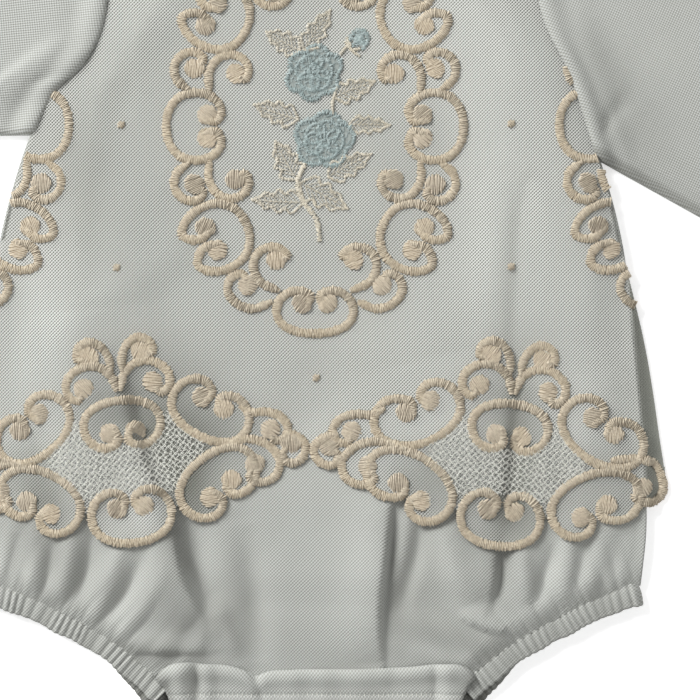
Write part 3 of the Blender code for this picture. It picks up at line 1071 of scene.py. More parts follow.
@dataclass(frozen=True)
class ThreadFinish:
    """Embroidery thread, paler on top of a stitch and deeper in colour between stitches."""

    light: Colour
    deep: Colour
    strand: tuple[float, float] = (0.3, 0.7)
    strand_scale: float = 900.0
    clouding: float = 0.25
    cloud_scale: float = 60.0
    fuzz_scale: float = 3200.0
    depth: float = 0.1 * MM
    roughness: float = 0.88
    sheen: float = 0.10

    def material(self, name: str) -> Material:
        """Builds the finish.

        Args:
            name: The material's name.

        Returns:
            The material.
        """
        nodes = Nodes(name)
        strand = nodes.ramp(nodes.noise(self.strand_scale, 3.0), *self.strand)
        strand = nodes.math("MULTIPLY", strand, 1.0 - self.clouding)
        cloud = nodes.math("MULTIPLY", nodes.noise(self.cloud_scale), self.clouding)
        colour = nodes.tint(nodes.math("ADD", strand, cloud), self.deep, self.light)
        relief = nodes.noise(self.fuzz_scale)
        return nodes.finish(nodes.cloth(colour, relief, self.depth, self.roughness, self.sheen))


class Finishes:
    """Every finish of the romper, made once."""

    def __init__(self) -> None:
        """Builds the materials."""
        self.knit = KnitFinish().material("birdseye_knit")
        self.rib = KnitFinish(pitch=1.0 * MM, light=(0.60, 0.61, 0.57)).material("binding_knit")
        self.tulle = TulleFinish().material("tulle_net")
        self.satin = self._thread("satin_thread", (0.695, 0.625, 0.495), (0.47, 0.40, 0.305))
        self.dot = self._thread("satin_dot_thread", (0.665, 0.595, 0.475), (0.49, 0.42, 0.325))
        self.core = self._thread("cord_core", (0.52, 0.445, 0.34), (0.40, 0.335, 0.25))
        self.blue = self._thread("blue_grey_thread", (0.54, 0.62, 0.61), (0.31, 0.385, 0.38))
        self.ground = self._thread("blue_grey_ground", (0.35, 0.385, 0.365), (0.22, 0.25, 0.24))
        self.cream = self._thread("cream_thread", (0.80, 0.76, 0.65), (0.60, 0.55, 0.45))
        self.white = self._thread("off_white_thread", (0.86, 0.86, 0.80), (0.68, 0.68, 0.63))

    @staticmethod
    def _thread(name: str, light: Colour, deep: Colour) -> Material:
        """One thread's material, by its colours on top of a stitch and between stitches."""
        return ThreadFinish(light, deep).material(name)


# ---------------------------------------------------------------- making pieces


def add_object(name: str, data: bpy.types.ID | None) -> Piece:
    """Puts an object with a mesh, a light or a camera in the scene.

    Args:
        name: The object's name.
        data: What it holds.

    Returns:
        The object.
    """
    item = bpy.data.objects.new(name, data)
    bpy.context.scene.collection.objects.link(item)
    return item


def new_piece(
    name: str, points: Array, faces: Sequence, material: Material,
    weave: Array | None = None, shade: Array | None = None,
) -> Piece:
    """Makes a smooth mesh object.

    Args:
        name: The piece's name.
        points: Places in the frame, in metres.
        faces: Point numbers of each face.
        material: Its finish.
        weave: Flat coordinates of each point, in millimetres.
        shade: How dark each point's painted shade is, from 0 to 1.

    Returns:
        The object.
    """
    mesh = bpy.data.meshes.new(name)
    faces = faces if isinstance(faces, list) else faces.tolist()
    mesh.from_pydata(points.reshape(-1, 3).tolist(), [], faces)
    mesh.shade_smooth()
    mesh.materials.append(material)
    if weave is not None:
        layer = mesh.uv_layers.new(name="weave")
        order = np.empty(len(mesh.loops), np.int64)
        mesh.loops.foreach_get("vertex_index", order)
        flat = weave.reshape(-1, 2)[order] * MM
        layer.data.foreach_set("uv", np.ascontiguousarray(flat, np.float32).ravel())
    if shade is not None:
        depth = np.clip(shade, 0.0, 1.0).astype(np.float32)
        mesh.attributes.new("shade", "FLOAT", "POINT").data.foreach_set("value", depth.reshape(-1))
    return add_object(name, mesh)


def grid_faces(
    rows: int, columns: int, around: bool = False, flip: bool = False
) -> list[tuple[int, ...]]:
    """Faces between rows of points.

    Args:
        rows: Number of rows.
        columns: Number of points in a row.
        around: Whether each row closes on itself.
        flip: Whether the faces look the other way.

    Returns:
        Point numbers of each face.
    """
    faces = []
    for i in range(rows - 1):
        for j in range(columns if around else columns - 1):
            k = (j + 1) % columns
            face = (i * columns + j, i * columns + k, (i + 1) * columns + k, (i + 1) * columns + j)
            faces.append(face[::-1] if flip else face)
    return faces


def thicken(item: Piece, wall: float, offset: float = 1.0) -> None:
    """Gives a cloth its thickness, and keeps it as a plain mesh.

    Args:
        item: The cloth.
        wall: Thickness in millimetres.
        offset: 1 to grow outwards, -1 inwards.
    """
    solid = item.modifiers.new("wall", "SOLIDIFY")
    solid.thickness = wall * MM
    solid.offset = offset
    bake(item)


def bake(item: Piece) -> None:
    """Turns an object's modifiers into its plain mesh.

    Args:
        item: The object.
    """
    graph = bpy.context.evaluated_depsgraph_get()
    mesh = bpy.data.meshes.new_from_object(item.evaluated_get(graph), depsgraph=graph)
    item.modifiers.clear()
    old, item.data = item.data, mesh
    bpy.data.meshes.remove(old)


def report(item: Piece) -> Piece:
    """Logs a finished piece, and makes it ride with the romper.

    Args:
        item: The piece.

    Returns:
        The same piece.
    """
    item.data.calc_loop_triangles()
    LOG.info("%s: %d triangles", item.name, len(item.data.loop_triangles))
    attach(item, "root")
    return item


# ---------------------------------------------------------------- stitches


@dataclass(frozen=True)
class Stroke:
    """A path on the cloth that threads are laid across."""

    path: Array
    half_width: Array


@dataclass(frozen=True)
class StitchStyle:
    """How threads lie across a stroke. Sizes are in millimetres and the tilt is in degrees."""

    spacing: float
    thread: float
    rise: float
    tilt: float
    jitter: float
    seed: int
    steps: int

    def spread(self, apart: float, way: float, steps: int) -> "StitchStyle":
        """The same stitches laid closer or wider apart, upwards (way 1) or downwards (-1)."""
        return replace(self, spacing=self.spacing * apart, rise=self.rise * way, steps=steps)


# spacing, thread, rise, tilt, jitter, seed and steps
CORD_STYLE = StitchStyle(0.94, 0.98, 0.80, 12.0, 0.16, 3, 5)
DOT_STYLE = StitchStyle(0.84, 1.02, 0.62, 6.0, 0.08, 9, 5)
FINE_STYLE = StitchStyle(0.56, 0.60, 0.55, 32.0, 0.28, 11, 3)
EDGE_STYLE = StitchStyle(0.60, 0.62, 0.42, 42.0, 0.38, 15, 3)
STEM_STYLE = StitchStyle(0.72, 0.80, 0.66, 30.0, 0.16, 13, 4)
WISP_STYLE = StitchStyle(0.66, 0.46, 0.32, 46.0, 0.35, 17, 3)
CROSS_STYLE = StitchStyle(0.80, 0.62, 0.35, 40.0, 0.25, 21, 3)
SEAM_STYLE = StitchStyle(2.2, 0.55, 0.22, 6.0, 0.15, 5, 4)


class StitchTree(NodeTree):
    """A Geometry Nodes tree that lays arched threads side by side across each stroke."""

    INPUTS = (
        ("Spacing", "NodeSocketFloat"), ("Thread", "NodeSocketFloat"), ("Rise", "NodeSocketFloat"),
        ("Tilt", "NodeSocketFloat"), ("Jitter", "NodeSocketFloat"), ("Steps", "NodeSocketInt"),
        ("Seed", "NodeSocketInt"), ("Finish", "NodeSocketMaterial"),
    )
    ARCH_POWER = 3.2
    THREAD_SIDES = 3

    def __init__(self) -> None:
        """Builds the tree."""
        super().__init__(bpy.data.node_groups.new("threads_across_a_stroke", "GeometryNodeTree"))
        face = self.tree.interface
        for way in ("INPUT", "OUTPUT"):
            face.new_socket("Geometry", in_out=way, socket_type="NodeSocketGeometry")
        self.sockets = {
            name: face.new_socket(name, in_out="INPUT", socket_type=kind).identifier
            for name, kind in self.INPUTS
        }
        self._build()

    def _random(self, low: Socket, high: Socket, seed: Socket, shift: float) -> Socket:
        """A number drawn for each stitch.

        Args:
            low: The least.
            high: The greatest.
            seed: The tree's seed.
            shift: What this draw adds to the seed.

        Returns:
            The number.
        """
        node = self.add("FunctionNodeRandomValue", {"data_type": "FLOAT"})
        for key, value in ((2, low), (3, high), ("Seed", self.math("ADD", seed, shift))):
            self.put(node.inputs[key], value)
        return node.outputs[1]

    def _thread(self, given: bpy.types.Node) -> Socket:
        """One thread: an arch across Y from -1 to 1, flat on top and steep at its ends.

        Args:
            given: The tree's inputs.

        Returns:
            The thread.
        """
        share = self.math("DIVIDE", 2.0, given.outputs["Steps"])
        step = self.add("ShaderNodeCombineXYZ", Y=share).outputs[0]
        count = self.math("ADD", given.outputs["Steps"], 1.0)
        start = (0.0, -1.0, 0.0)
        line = self.add("GeometryNodeMeshLine", Count=count, Start_Location=start, Offset=step)
        place = self.add("GeometryNodeInputPosition").outputs[0]
        away = self.math("ABSOLUTE", self.add("ShaderNodeSeparateXYZ", Vector=place).outputs[1])
        full = self.math("SUBTRACT", 1.0, self.math("POWER", away, self.ARCH_POWER))
        up = self.math("MULTIPLY", full, given.outputs["Rise"])
        lift = self.add("ShaderNodeCombineXYZ", Z=up).outputs[0]
        arch = self.add("GeometryNodeSetPosition", Geometry=line.outputs[0], Offset=lift)
        curve = self.add("GeometryNodeMeshToCurve", Mesh=arch.outputs[0]).outputs[0]
        half = self.math("MULTIPLY", given.outputs["Thread"], 0.5)
        shape = {"Resolution": self.THREAD_SIDES, "Radius": half}
        ring = self.add("GeometryNodeCurvePrimitiveCircle", **shape).outputs[0]
        solid = self.add("GeometryNodeCurveToMesh", Curve=curve, Profile_Curve=ring, Fill_Caps=True)
        return self.add("GeometryNodeSetShadeSmooth", Geometry=solid.outputs[0]).outputs[0]

    def _build(self) -> None:
        """Lays out the tree's nodes."""
        given = self.add("NodeGroupInput")
        seed, lean, jitter = (given.outputs[name] for name in ("Seed", "Tilt", "Jitter"))
        curve = self.add("GeometryNodeMeshToCurve", Mesh=given.outputs["Geometry"]).outputs[0]
        mode, spacing = {"mode": "LENGTH"}, given.outputs["Spacing"]
        points = self.add("GeometryNodeCurveToPoints", mode, Curve=curve, Length=spacing)
        axes, tangent = {"axis": "X", "pivot_axis": "Z"}, points.outputs["Tangent"]
        along = self.add("FunctionNodeAlignRotationToVector", axes, Vector=tangent).outputs[0]
        angle = self._random(self.math("MULTIPLY", lean, -1.0), lean, seed, 0.0)
        up, local, number = (0.0, 0.0, 1.0), {"rotation_space": "LOCAL"}, {"data_type": "FLOAT"}
        turn = self.add("FunctionNodeAxisAngleToRotation", Axis=up, Angle=angle).outputs[0]
        rotation = self.add("FunctionNodeRotateRotation", local, Rotation=along, Rotate_By=turn)
        least, most = self.math("SUBTRACT", 1.0, jitter), self.math("ADD", 1.0, jitter)
        reach = self.add("GeometryNodeInputNamedAttribute", number, Name="half_width")
        wide, broad, tall = (self._random(least, most, seed, shift) for shift in (1.0, 2.0, 3.0))
        wide = self.math("MULTIPLY", reach.outputs["Attribute"], wide)
        scale = self.add("ShaderNodeCombineXYZ", X=broad, Y=wide, Z=tall).outputs[0]
        laid = self.add(
            "GeometryNodeInstanceOnPoints", Points=points.outputs["Points"],
            Instance=self._thread(given), Rotation=rotation.outputs[0], Scale=scale,
        )
        real = self.add("GeometryNodeRealizeInstances", Geometry=laid.outputs[0]).outputs[0]
        finish = given.outputs["Finish"]
        dressed = self.add("GeometryNodeSetMaterial", Geometry=real, Material=finish).outputs[0]
        self.add("NodeGroupOutput", Geometry=dressed)

    def lay(
        self, name: str, strokes: Sequence[Stroke], style: StitchStyle, material: Material,
        height: Height,
    ) -> Piece:
        """Stitches strokes onto the cloth.

        Args:
            name: The piece's name.
            strokes: Paths in the plan, with their half widths.
            style: How the threads lie.
            material: Their finish.
            height: Height of the cloth at a plan point.

        Returns:
            The threads as one plain mesh.
        """
        points, edges, widths, first = [], [], [], 0
        for stroke in strokes:
            x, y = stroke.path[:, 0], stroke.path[:, 1]
            points.append(PLAN.place(x, y, height(x, y)))
            widths.append(stroke.half_width * MM)
            edges += [(first + i, first + i + 1) for i in range(len(x) - 1)]
            first += len(x)
        mesh = bpy.data.meshes.new(name)
        mesh.from_pydata(np.concatenate(points).tolist(), edges, [])
        attribute = mesh.attributes.new("half_width", "FLOAT", "POINT")
        attribute.data.foreach_set("value", np.concatenate(widths).astype(np.float32))
        item = add_object(name, mesh)
        modifier = item.modifiers.new("threads", "NODES")
        modifier.node_group = self.tree
        values = {
            "Spacing": style.spacing * MM, "Thread": style.thread * MM, "Rise": style.rise * MM,
            "Tilt": radians(style.tilt), "Jitter": style.jitter, "Steps": style.steps,
            "Seed": style.seed, "Finish": material,
        }
        for key, value in values.items():
            modifier[self.sockets[key]] = value
        bake(item)
        return item


CORE_SECTION = np.array([(-0.9, 0.0), (-0.62, 0.72), (0.0, 1.0), (0.62, 0.72), (0.9, 0.0)])


def padded_cord(
    name: str, strokes: Sequence[Stroke], rise: float, material: Material, height: Height
) -> Piece:
    """The smooth rounded core that the threads of a cord are laid over.

    Args:
        name: The piece's name.
        strokes: Paths in the plan, with their half widths.
        rise: Height of the core in millimetres, below 0 on the back.
        material: Its finish.
        height: Height of the cloth at a plan point.

    Returns:
        The cores as one mesh.
    """
    section = CORE_SECTION[::-1] if rise < 0 else CORE_SECTION
    sides = len(section)
    points, faces, first = [], [], 0
    for stroke in strokes:
        path, half = stroke.path[::2], stroke.half_width[::2]
        heading = np.gradient(path, axis=0)
        heading /= np.maximum(np.hypot(heading[:, 0], heading[:, 1]), 1e-9)[:, None]
        x = path[:, 0, None] - heading[:, 1, None] * half[:, None] * section[None, :, 0]
        y = path[:, 1, None] + heading[:, 0, None] * half[:, None] * section[None, :, 0]
        z = height(path[:, 0], path[:, 1])[:, None] + rise * section[None, :, 1]
        points.append(PLAN.place(x, y, z).reshape(-1, 3))
        last = first + sides * len(path) - 1
        ring = grid_faces(len(path), sides, around=True, flip=True)
        faces += [tuple(first + i for i in face) for face in ring]
        faces += [tuple(first + i for i in range(sides)), tuple(last - i for i in range(sides))]
        first = last + 1
    return new_piece(name, np.concatenate(points), faces, material)


# ---------------------------------------------------------------- the scroll pattern


def even_stroke(path: Array, width: float, ends: float = 0.55) -> Stroke:
    """A stroke of one width that narrows a little at its ends.

    Args:
        path: The stroke's path.
        width: Its full width.
        ends: Share of the width that is left at the ends.

    Returns:
        The stroke.
    """
    share = np.linspace(0.0, 1.0, len(path))
    narrow = mix(ends, 1.0, np.clip(np.minimum(share, 1.0 - share) * len(path) / 5.0, 0.0, 1.0))
    return Stroke(path, narrow * width / 2)


def dot_stroke(x: float, y: float, radius: float, heading: float) -> Stroke:
    """A round dot of parallel threads.

    Args:
        x: Middle of the dot.
        y: Middle of the dot.
        radius: Its radius.
        heading: Angle that the threads lie across.

    Returns:
        The stroke.
    """
    along = np.linspace(-0.96, 0.96, 15) * radius
    way = np.array([cos(radians(heading)), sin(radians(heading))])
    path = np.array([x, y]) + along[:, None] * way
    return Stroke(path, np.sqrt(radius**2 - along**2) * 0.97 + 0.1)


@dataclass(frozen=True)
class Scroll:
    """A C-scroll whose ends hook round a dot each and meet in a notch, open towards its facing."""

    x: float
    y: float
    facing: float
    back: float
    front: float
    half: float
    notch: float
    dot: Point
    uneven: float = 0.0

    def strokes(self, width: float) -> tuple[list[Array], Dots]:
        """The scroll's cord, and the middle and heading of its two dots.

        Args:
            width: Width of the cord.

        Returns:
            The cord's path, and its dots.
        """
        dx, dy = self.dot
        back, front, half = self.back, self.front, self.half
        bow = [
            (dx - 2.2, dy - 2.0), (dx + 1.4, 2.7), (self.notch, 0.5 * width),
            (mix(self.notch, front, 0.72), 4.6), (front, dy + 2.2), (0.90 * front, 0.68 * half),
            (0.5 * front, 0.93 * half), (0.0, half), (-0.52 * back, 0.88 * half),
            (-0.89 * back, 0.5 * half),
        ]
        upper = [(px, py * (1.0 + self.uneven)) for px, py in bow]
        lower = [(px, -py * (1.0 - self.uneven)) for px, py in reversed(bow)]
        path = turned(drawn([*upper, (-back, 0.0), *lower]), self.facing) + (self.x, self.y)
        dots = []
        for sign in (1.0, -1.0):
            (px, py), = turned([(dx, sign * dy * (1.0 + sign * self.uneven))], self.facing)
            dots.append(((self.x + px, self.y + py), self.facing + sign * 50.0))
        return [path], dots

    def mirrored(self, flip_x: bool, flip_y: bool) -> "Scroll":
        """The scroll on the other side of the middle, across, up or both.

        Args:
            flip_x: Whether it lies across the middle line.
            flip_y: Whether it lies above the middle.

        Returns:
            The scroll.
        """
        facing = 180.0 - self.facing if flip_x else self.facing
        facing = -facing if flip_y else facing
        uneven = self.uneven if flip_x == flip_y else -self.uneven
        x, y = (-self.x if flip_x else self.x), (-self.y if flip_y else self.y)
        return replace(self, x=x, y=y, facing=facing, uneven=uneven)


@dataclass(frozen=True)
class Curl:
    """A single curl that winds in to one dot."""

    x: float
    y: float
    path: tuple[Point, ...]

    def strokes(self, width: float) -> tuple[list[Array], Dots]:
        """The curl's cord, and the middle and heading of its dot.

        Args:
            width: Width of the cord, which a curl doesn't depend on.

        Returns:
            The cord's path, and its dot.
        """
        last, end = self.path[-2], self.path[-1]
        heading = degrees(atan2(end[1] - last[1], end[0] - last[0]))
        inner = (mix(end[0], self.x, 0.45), mix(end[1], self.y, 0.45))
        return [drawn([*self.path, inner])], [((self.x, self.y), heading + 60.0)]

    def mirrored(self, flip_x: bool, flip_y: bool) -> "Curl":
        """The curl on the other side of the middle, across, up or both."""
        sx, sy = (-1.0 if flip_x else 1.0), (-1.0 if flip_y else 1.0)
        return Curl(sx * self.x, sy * self.y, tuple((sx * px, sy * py) for px, py in self.path))


@dataclass(frozen=True)
class Group:
    """Where a group of scrolls lies: its middle, its turn in degrees and its ends' stretch."""

    x: float
    y: float
    turn: float = 0.0
    stretch: float = 1.0

    def move(self, path: Array) -> Array:
        """Points of the group's own space, placed on the cloth.

        Args:
            path: Rows of x and y.

        Returns:
            Their plan points.
        """
        path = np.asarray(path, float)
        far = mix(1.0, self.stretch, blend(44.0, 56.0, np.abs(path[:, 0])))
        return turned(np.column_stack([path[:, 0] * far, path[:, 1]]), self.turn) + (self.x, self.y)


@dataclass
class ScrollLayout:
    """Where the scrolls, curls and loose dots of the embroidery lie."""

    middle: Point = (-0.5, 69.4)
    cord: float = 4.25
    dot: float = 4.7
    medallions: tuple[Group, ...] = (Group(-185.7, 70.0), Group(-0.5, 69.4), Group(184.0, 70.0))
    hems: tuple[Group, ...] = (Group(-91.0, -70.0, 6.0, 1.0), Group(91.0, -71.6, -6.0, 1.07))
    hem_top: float = -84.0
    hem_slit: int = 2
    hem_half: float = 176.0
    hem_margin: float = 0.8
    hem_reach: float = 150.0
    seam_margin: float = 1.0
    neck_margin: float = 3.0
    least_run: int = 10
    loose_dots: tuple[Point, ...] = (
        (91.5, 70.5), (91.5, 3.5), (0.0, -48.7), (-91.5, 70.0), (-93.5, 3.0),
    )
    medallion_forms: tuple = (
        Scroll(0.0, -87.0, 90.0, 10.2, 10.0, 18.2, 7.4, (3.9, 6.0)),
        Scroll(-46.2, -51.2, 208.0, 15.0, 14.4, 15.6, 6.8, (2.8, 5.9), 0.05),
        Scroll(-56.3, 0.0, 0.0, 13.5, 12.4, 15.9, 9.8, (5.6, 5.5)),
        Curl(18.2, -62.6, (
            (16.8, -77.2), (26.4, -72.2), (29.0, -65.9), (27.3, -59.9), (21.3, -56.6),
            (15.2, -57.9), (12.8, -61.5),
        )),
        Curl(31.6, -74.6, (
            (20.2, -82.2), (29.0, -85.6), (37.3, -82.7), (41.2, -76.4), (38.9, -70.6),
            (33.2, -69.4),
        )),
        Curl(-37.2, -24.8, (
            (-49.4, -16.2), (-49.8, -25.0), (-46.2, -31.2), (-39.5, -33.9), (-33.2, -31.3),
            (-31.0, -26.0), (-33.6, -21.6),
        )),
        Curl(-56.6, -27.2, (
            (-59.2, -17.2), (-65.2, -22.4), (-65.8, -29.3), (-60.9, -34.4), (-54.8, -34.4),
            (-52.2, -30.4),
        )),
    )
    hem_forms: tuple = (
        Scroll(0.0, 0.0, 270.0, 10.8, 11.0, 18.0, 7.6, (4.0, 6.0)),
        Scroll(0.0, -43.8, 90.0, 12.4, 12.2, 18.8, 8.0, (4.2, 6.3)),
        Scroll(40.6, 1.6, 56.0, 12.2, 11.8, 19.2, 7.6, (4.2, 5.9), -0.06),
        Scroll(40.6, -32.4, 303.0, 12.6, 12.0, 20.0, 7.6, (3.6, 6.4), 0.07),
        Curl(12.2, 32.8, (
            (2.6, 24.6), (3.0, 30.6), (6.0, 36.6), (11.8, 39.6), (17.3, 36.2), (17.2, 31.0),
        )),
        Curl(16.2, 18.0, (
            (0.8, 15.4), (3.2, 23.1), (9.9, 28.0), (18.4, 27.1), (24.2, 21.2), (23.2, 14.6),
            (18.6, 12.6),
        )),
        Curl(68.9, -10.0, (
            (55.6, 2.4), (60.6, -1.2), (67.4, -1.6), (74.6, -4.9), (77.2, -10.8), (74.0, -15.6),
            (69.2, -14.8),
        )),
        Curl(60.2, -25.4, (
            (47.0, -15.4), (57.0, -13.3), (66.8, -17.2), (71.8, -24.8), (68.9, -32.2),
            (61.2, -34.2), (56.6, -30.6),
        )),
        Curl(78.0, -17.8, (
            (74.6, -12.4), (80.4, -14.2), (84.6, -19.4), (82.0, -25.4), (75.4, -26.6),
            (73.2, -21.6),
        )),
    )
    corner: Curl = Curl(153.6, -100.2, (
        (138.5, -87.6), (146.0, -86.9), (153.2, -87.0), (159.4, -89.4), (162.4, -94.6),
        (163.6, -101.2), (160.4, -106.2), (154.2, -107.2), (149.4, -104.4),
    ))

    @staticmethod
    def placed(groups: Sequence[Group], forms: Sequence) -> list[tuple]:
        """Every form, on both sides of the middle of each group.

        Args:
            groups: Where the groups lie.
            forms: The forms of one group's right or lower side.

        Returns:
            Pairs of form and group.
        """
        found = []
        for group in groups:
            for form in forms:
                flips = [(False, False), (True, False)] if form.x else [(False, False)]
                found += [(form.mirrored(*flip), group) for flip in flips]
        return found

    def medallion(self) -> list[tuple]:
        """The forms of the medallions, above and below their middles.

        Returns:
            Pairs of form and group.
        """
        below = self.placed(self.medallions, self.medallion_forms)
        above = [(form.mirrored(False, True), group) for form, group in below if form.y]
        return below + above

    def hem(self) -> list[tuple]:
        """The forms along the hem, with a curl of its own at each lower corner of the tulle.

        Returns:
            Pairs of form and group.
        """
        found = [
            (form, group) for form, group in self.placed(self.hems, self.hem_forms)
            if abs(group.move([(form.x, form.y)])[0, 0]) < self.hem_reach
        ]
        left_corner = self.corner.mirrored(True, False), Group(-6.0, 0.0)
        return [*found, (self.corner, Group(0.0, 0.0)), left_corner]

    def on_cloth(self, stroke: Stroke) -> list[Stroke]:
        """The runs of a stroke that lie on the tulle's panel, clear of its seams.

        Args:
            stroke: The stroke.

        Returns:
            The runs.
        """
        x, y = stroke.path[:, 0], stroke.path[:, 1]
        level = np.interp(y, SIDE_TABLE[:, 4], SIDE_TABLE[:, 0])
        flare = np.interp(level, SIDE_TABLE[:, 0], SIDE_TABLE[:, 5])
        reach = flare - self.seam_margin
        inside = (x < PLAN.side_x(y, Side.RIGHT) + reach) & (x > PLAN.side_x(y, Side.LEFT) - reach)
        inside &= y < PLAN.top_line(x, PLAN.front_neck) - self.neck_margin
        return [
            Stroke(stroke.path[a:b], stroke.half_width[a:b])
            for a, b in runs(inside) if b - a > self.least_run
        ]

    def strokes(self, forms: Sequence) -> tuple[list[Stroke], list[Stroke]]:
        """The cords and the dots of some placed forms.

        Args:
            forms: Pairs of form and group.

        Returns:
            The cords and the dots.
        """
        cords, dots = [], []
        for form, group in forms:
            paths, middles = form.strokes(self.cord)
            for path in paths:
                cords += self.on_cloth(even_stroke(group.move(path), self.cord))
            for point, heading in middles:
                (x, y), = group.move([point])
                dots += self.on_cloth(dot_stroke(x, y, self.dot, heading + group.turn))
        return cords, dots

    def hem_edge(self) -> tuple[Array, Array]:
        """The tulle's lower edge, which is cut along the lowest cords.

        Returns:
            Rising x, and the edge's y there.
        """
        xs = np.arange(-self.hem_half, self.hem_half + 0.1, 1.0)
        lowest = np.full(len(xs), self.hem_top)
        for form, group in self.hem():
            for path in form.strokes(self.cord)[0]:
                path = group.move(path)
                cell = np.round(path[:, 0] - xs[0]).astype(int)
                for i, y in zip(cell, path[:, 1]):
                    if 0 <= i < len(xs):
                        lowest[i] = min(lowest[i], y)
        for reach in (np.min, np.max):
            spread = np.pad(lowest, self.hem_slit, mode="edge")
            near = np.lib.stride_tricks.sliding_window_view(spread, 2 * self.hem_slit + 1)
            lowest = reach(near, axis=-1)
        return xs, lowest - self.hem_margin


LAYOUT = ScrollLayout()
HEM_X, HEM_Y = LAYOUT.hem_edge()


LEAF_PROFILE = (
    # share of the leaf's length, share of its half width
    (0, 0), (0.10, 0.52), (0.25, 1.0), (0.34, 0.62), (0.50, 0.98), (0.58, 0.54), (0.76, 0.66),
    (0.82, 0.34), (1, 0),
)


@dataclass(frozen=True)
class Leaf:
    """A pointed leaf with notched sides: its foot, its tip and its width."""

    foot: Point
    tip: Point
    width: float

    def _frame(self) -> tuple[float, float]:
        """The leaf's length and heading."""
        dx, dy = self.tip[0] - self.foot[0], self.tip[1] - self.foot[1]
        return hypot(dx, dy), degrees(atan2(dy, dx))

    def _placed(self, points: Sequence[Point]) -> Array:
        """Points of the leaf's own space, placed at its foot."""
        return turned(points, self._frame()[1]) + self.foot

    def outline(self) -> list[Array]:
        """Both notched sides.

        Returns:
            A path for each side.
        """
        length, _ = self._frame()
        sides = []
        for sign in (1, -1):
            side = [(a * length, sign * b * self.width / 2) for a, b in LEAF_PROFILE]
            sides.append(drawn(self._placed(side), 0.5))
        return sides

    def veins(self) -> list[Array]:
        """The midrib and the veins that leave it.

        Returns:
            A path for each.
        """
        length, _ = self._frame()
        lines = [drawn(self._placed([(0, 0), (0.5 * length, 0.3), (0.96 * length, 0)]), 0.5)]
        for share in (0.12, 0.22, 0.32, 0.42, 0.52, 0.62, 0.72):
            for sign in (1, -1):
                end = (min(share + 0.2, 0.95) * length, sign * 0.40 * self.width * (1.05 - share))
                middle = ((share + 0.08) * length, sign * 0.16 * self.width)
                lines.append(drawn(self._placed([(share * length, 0), middle, end]), 0.5))
        return lines


@dataclass(frozen=True)
class Rose:
    """An open rose of lobed petals round a small whorl."""

    x: float
    y: float
    radius: float
    lobes: int
    turn: float

    def _placed(self, points: Sequence[Point], heading: float) -> Array:
        """A path through points given as shares of the radius, turned to a heading."""
        return drawn(turned(np.array(points) * self.radius, heading) + (self.x, self.y), 0.5)

    def rim(self) -> list[Array]:
        """The outer petals' edge, in shallow lobes that part at the notches.

        Returns:
            The edge's path.
        """
        angle = np.linspace(0.0, 2 * pi, 90)
        turn = radians(self.turn)
        beat = np.abs(np.sin(angle * self.lobes / 2 + turn))
        reach = self.radius * (0.74 + 0.22 * beat**0.7 + 0.04 * np.sin(2 * angle + turn))
        return [np.column_stack([self.x + reach * np.cos(angle), self.y + reach * np.sin(angle)])]

    def petals(self) -> list[Array]:
        """The inner petals' edges: lobes that face outwards, and a whorl in the middle.

        Returns:
            A path for each.
        """
        arcs = []
        for i in range(5):
            heading = self.turn + 72.0 * i + 9.0 * sin(2.3 * i)
            reach = 0.42 + 0.04 * sin(3.1 * i)
            arc = [(0.06, -0.10), (0.26, -0.34), (0.52, -0.30), (reach + 0.22, 0.0)]
            arcs.append(self._placed([*arc, (0.52, 0.30), (0.26, 0.34), (0.06, 0.12)], heading))
        whorl = [(0.26, 0.02), (0.10, 0.24), (-0.16, 0.16), (-0.20, -0.10), (0.02, -0.20)]
        arcs.append(self._placed([*whorl, (0.14, -0.02)], self.turn))
        return arcs

    def filling(self) -> list[Array]:
        """Fine wandering thread that fills the petals.

        Returns:
            A path for each thread.
        """
        lines = []
        for i in range(20):
            angle = radians(self.turn + 18.0 * i)
            reach = np.linspace(0.30, 0.84, 12) * self.radius
            sway = angle + 0.12 * np.sin(reach * 1.9 + i)
            x, y = self.x + reach * np.cos(sway), self.y + reach * np.sin(sway)
            lines.append(drawn(np.column_stack([x, y]), 0.5))
        return lines

    def ground(self, height: Height, material: Material, name: str) -> Piece:
        """The close layer of thread under the petals.

        Args:
            height: Height of the cloth at a plan point.
            material: Its finish.
            name: The piece's name.

        Returns:
            The layer, as a lobed disc.
        """
        rim = self.rim()[0][:-1] - (self.x, self.y)
        share = np.linspace(1.0, 0.04, 9)
        x = self.x + LAYOUT.middle[0] + rim[None, :, 0] * share[:, None]
        y = self.y + LAYOUT.middle[1] + rim[None, :, 1] * share[:, None]
        lift = 0.04 * np.minimum(1.0, (1.0 - share) * 12.0)[:, None]
        points = PLAN.place(x, y, height(x, y) + lift)
        count = len(rim)
        faces = grid_faces(len(share), count, around=True, flip=True)
        faces.append(tuple(range((len(share) - 1) * count, len(share) * count)))
        item = new_piece(name, points, faces, material)
        thicken(item, 0.06, -1.0)
        return item


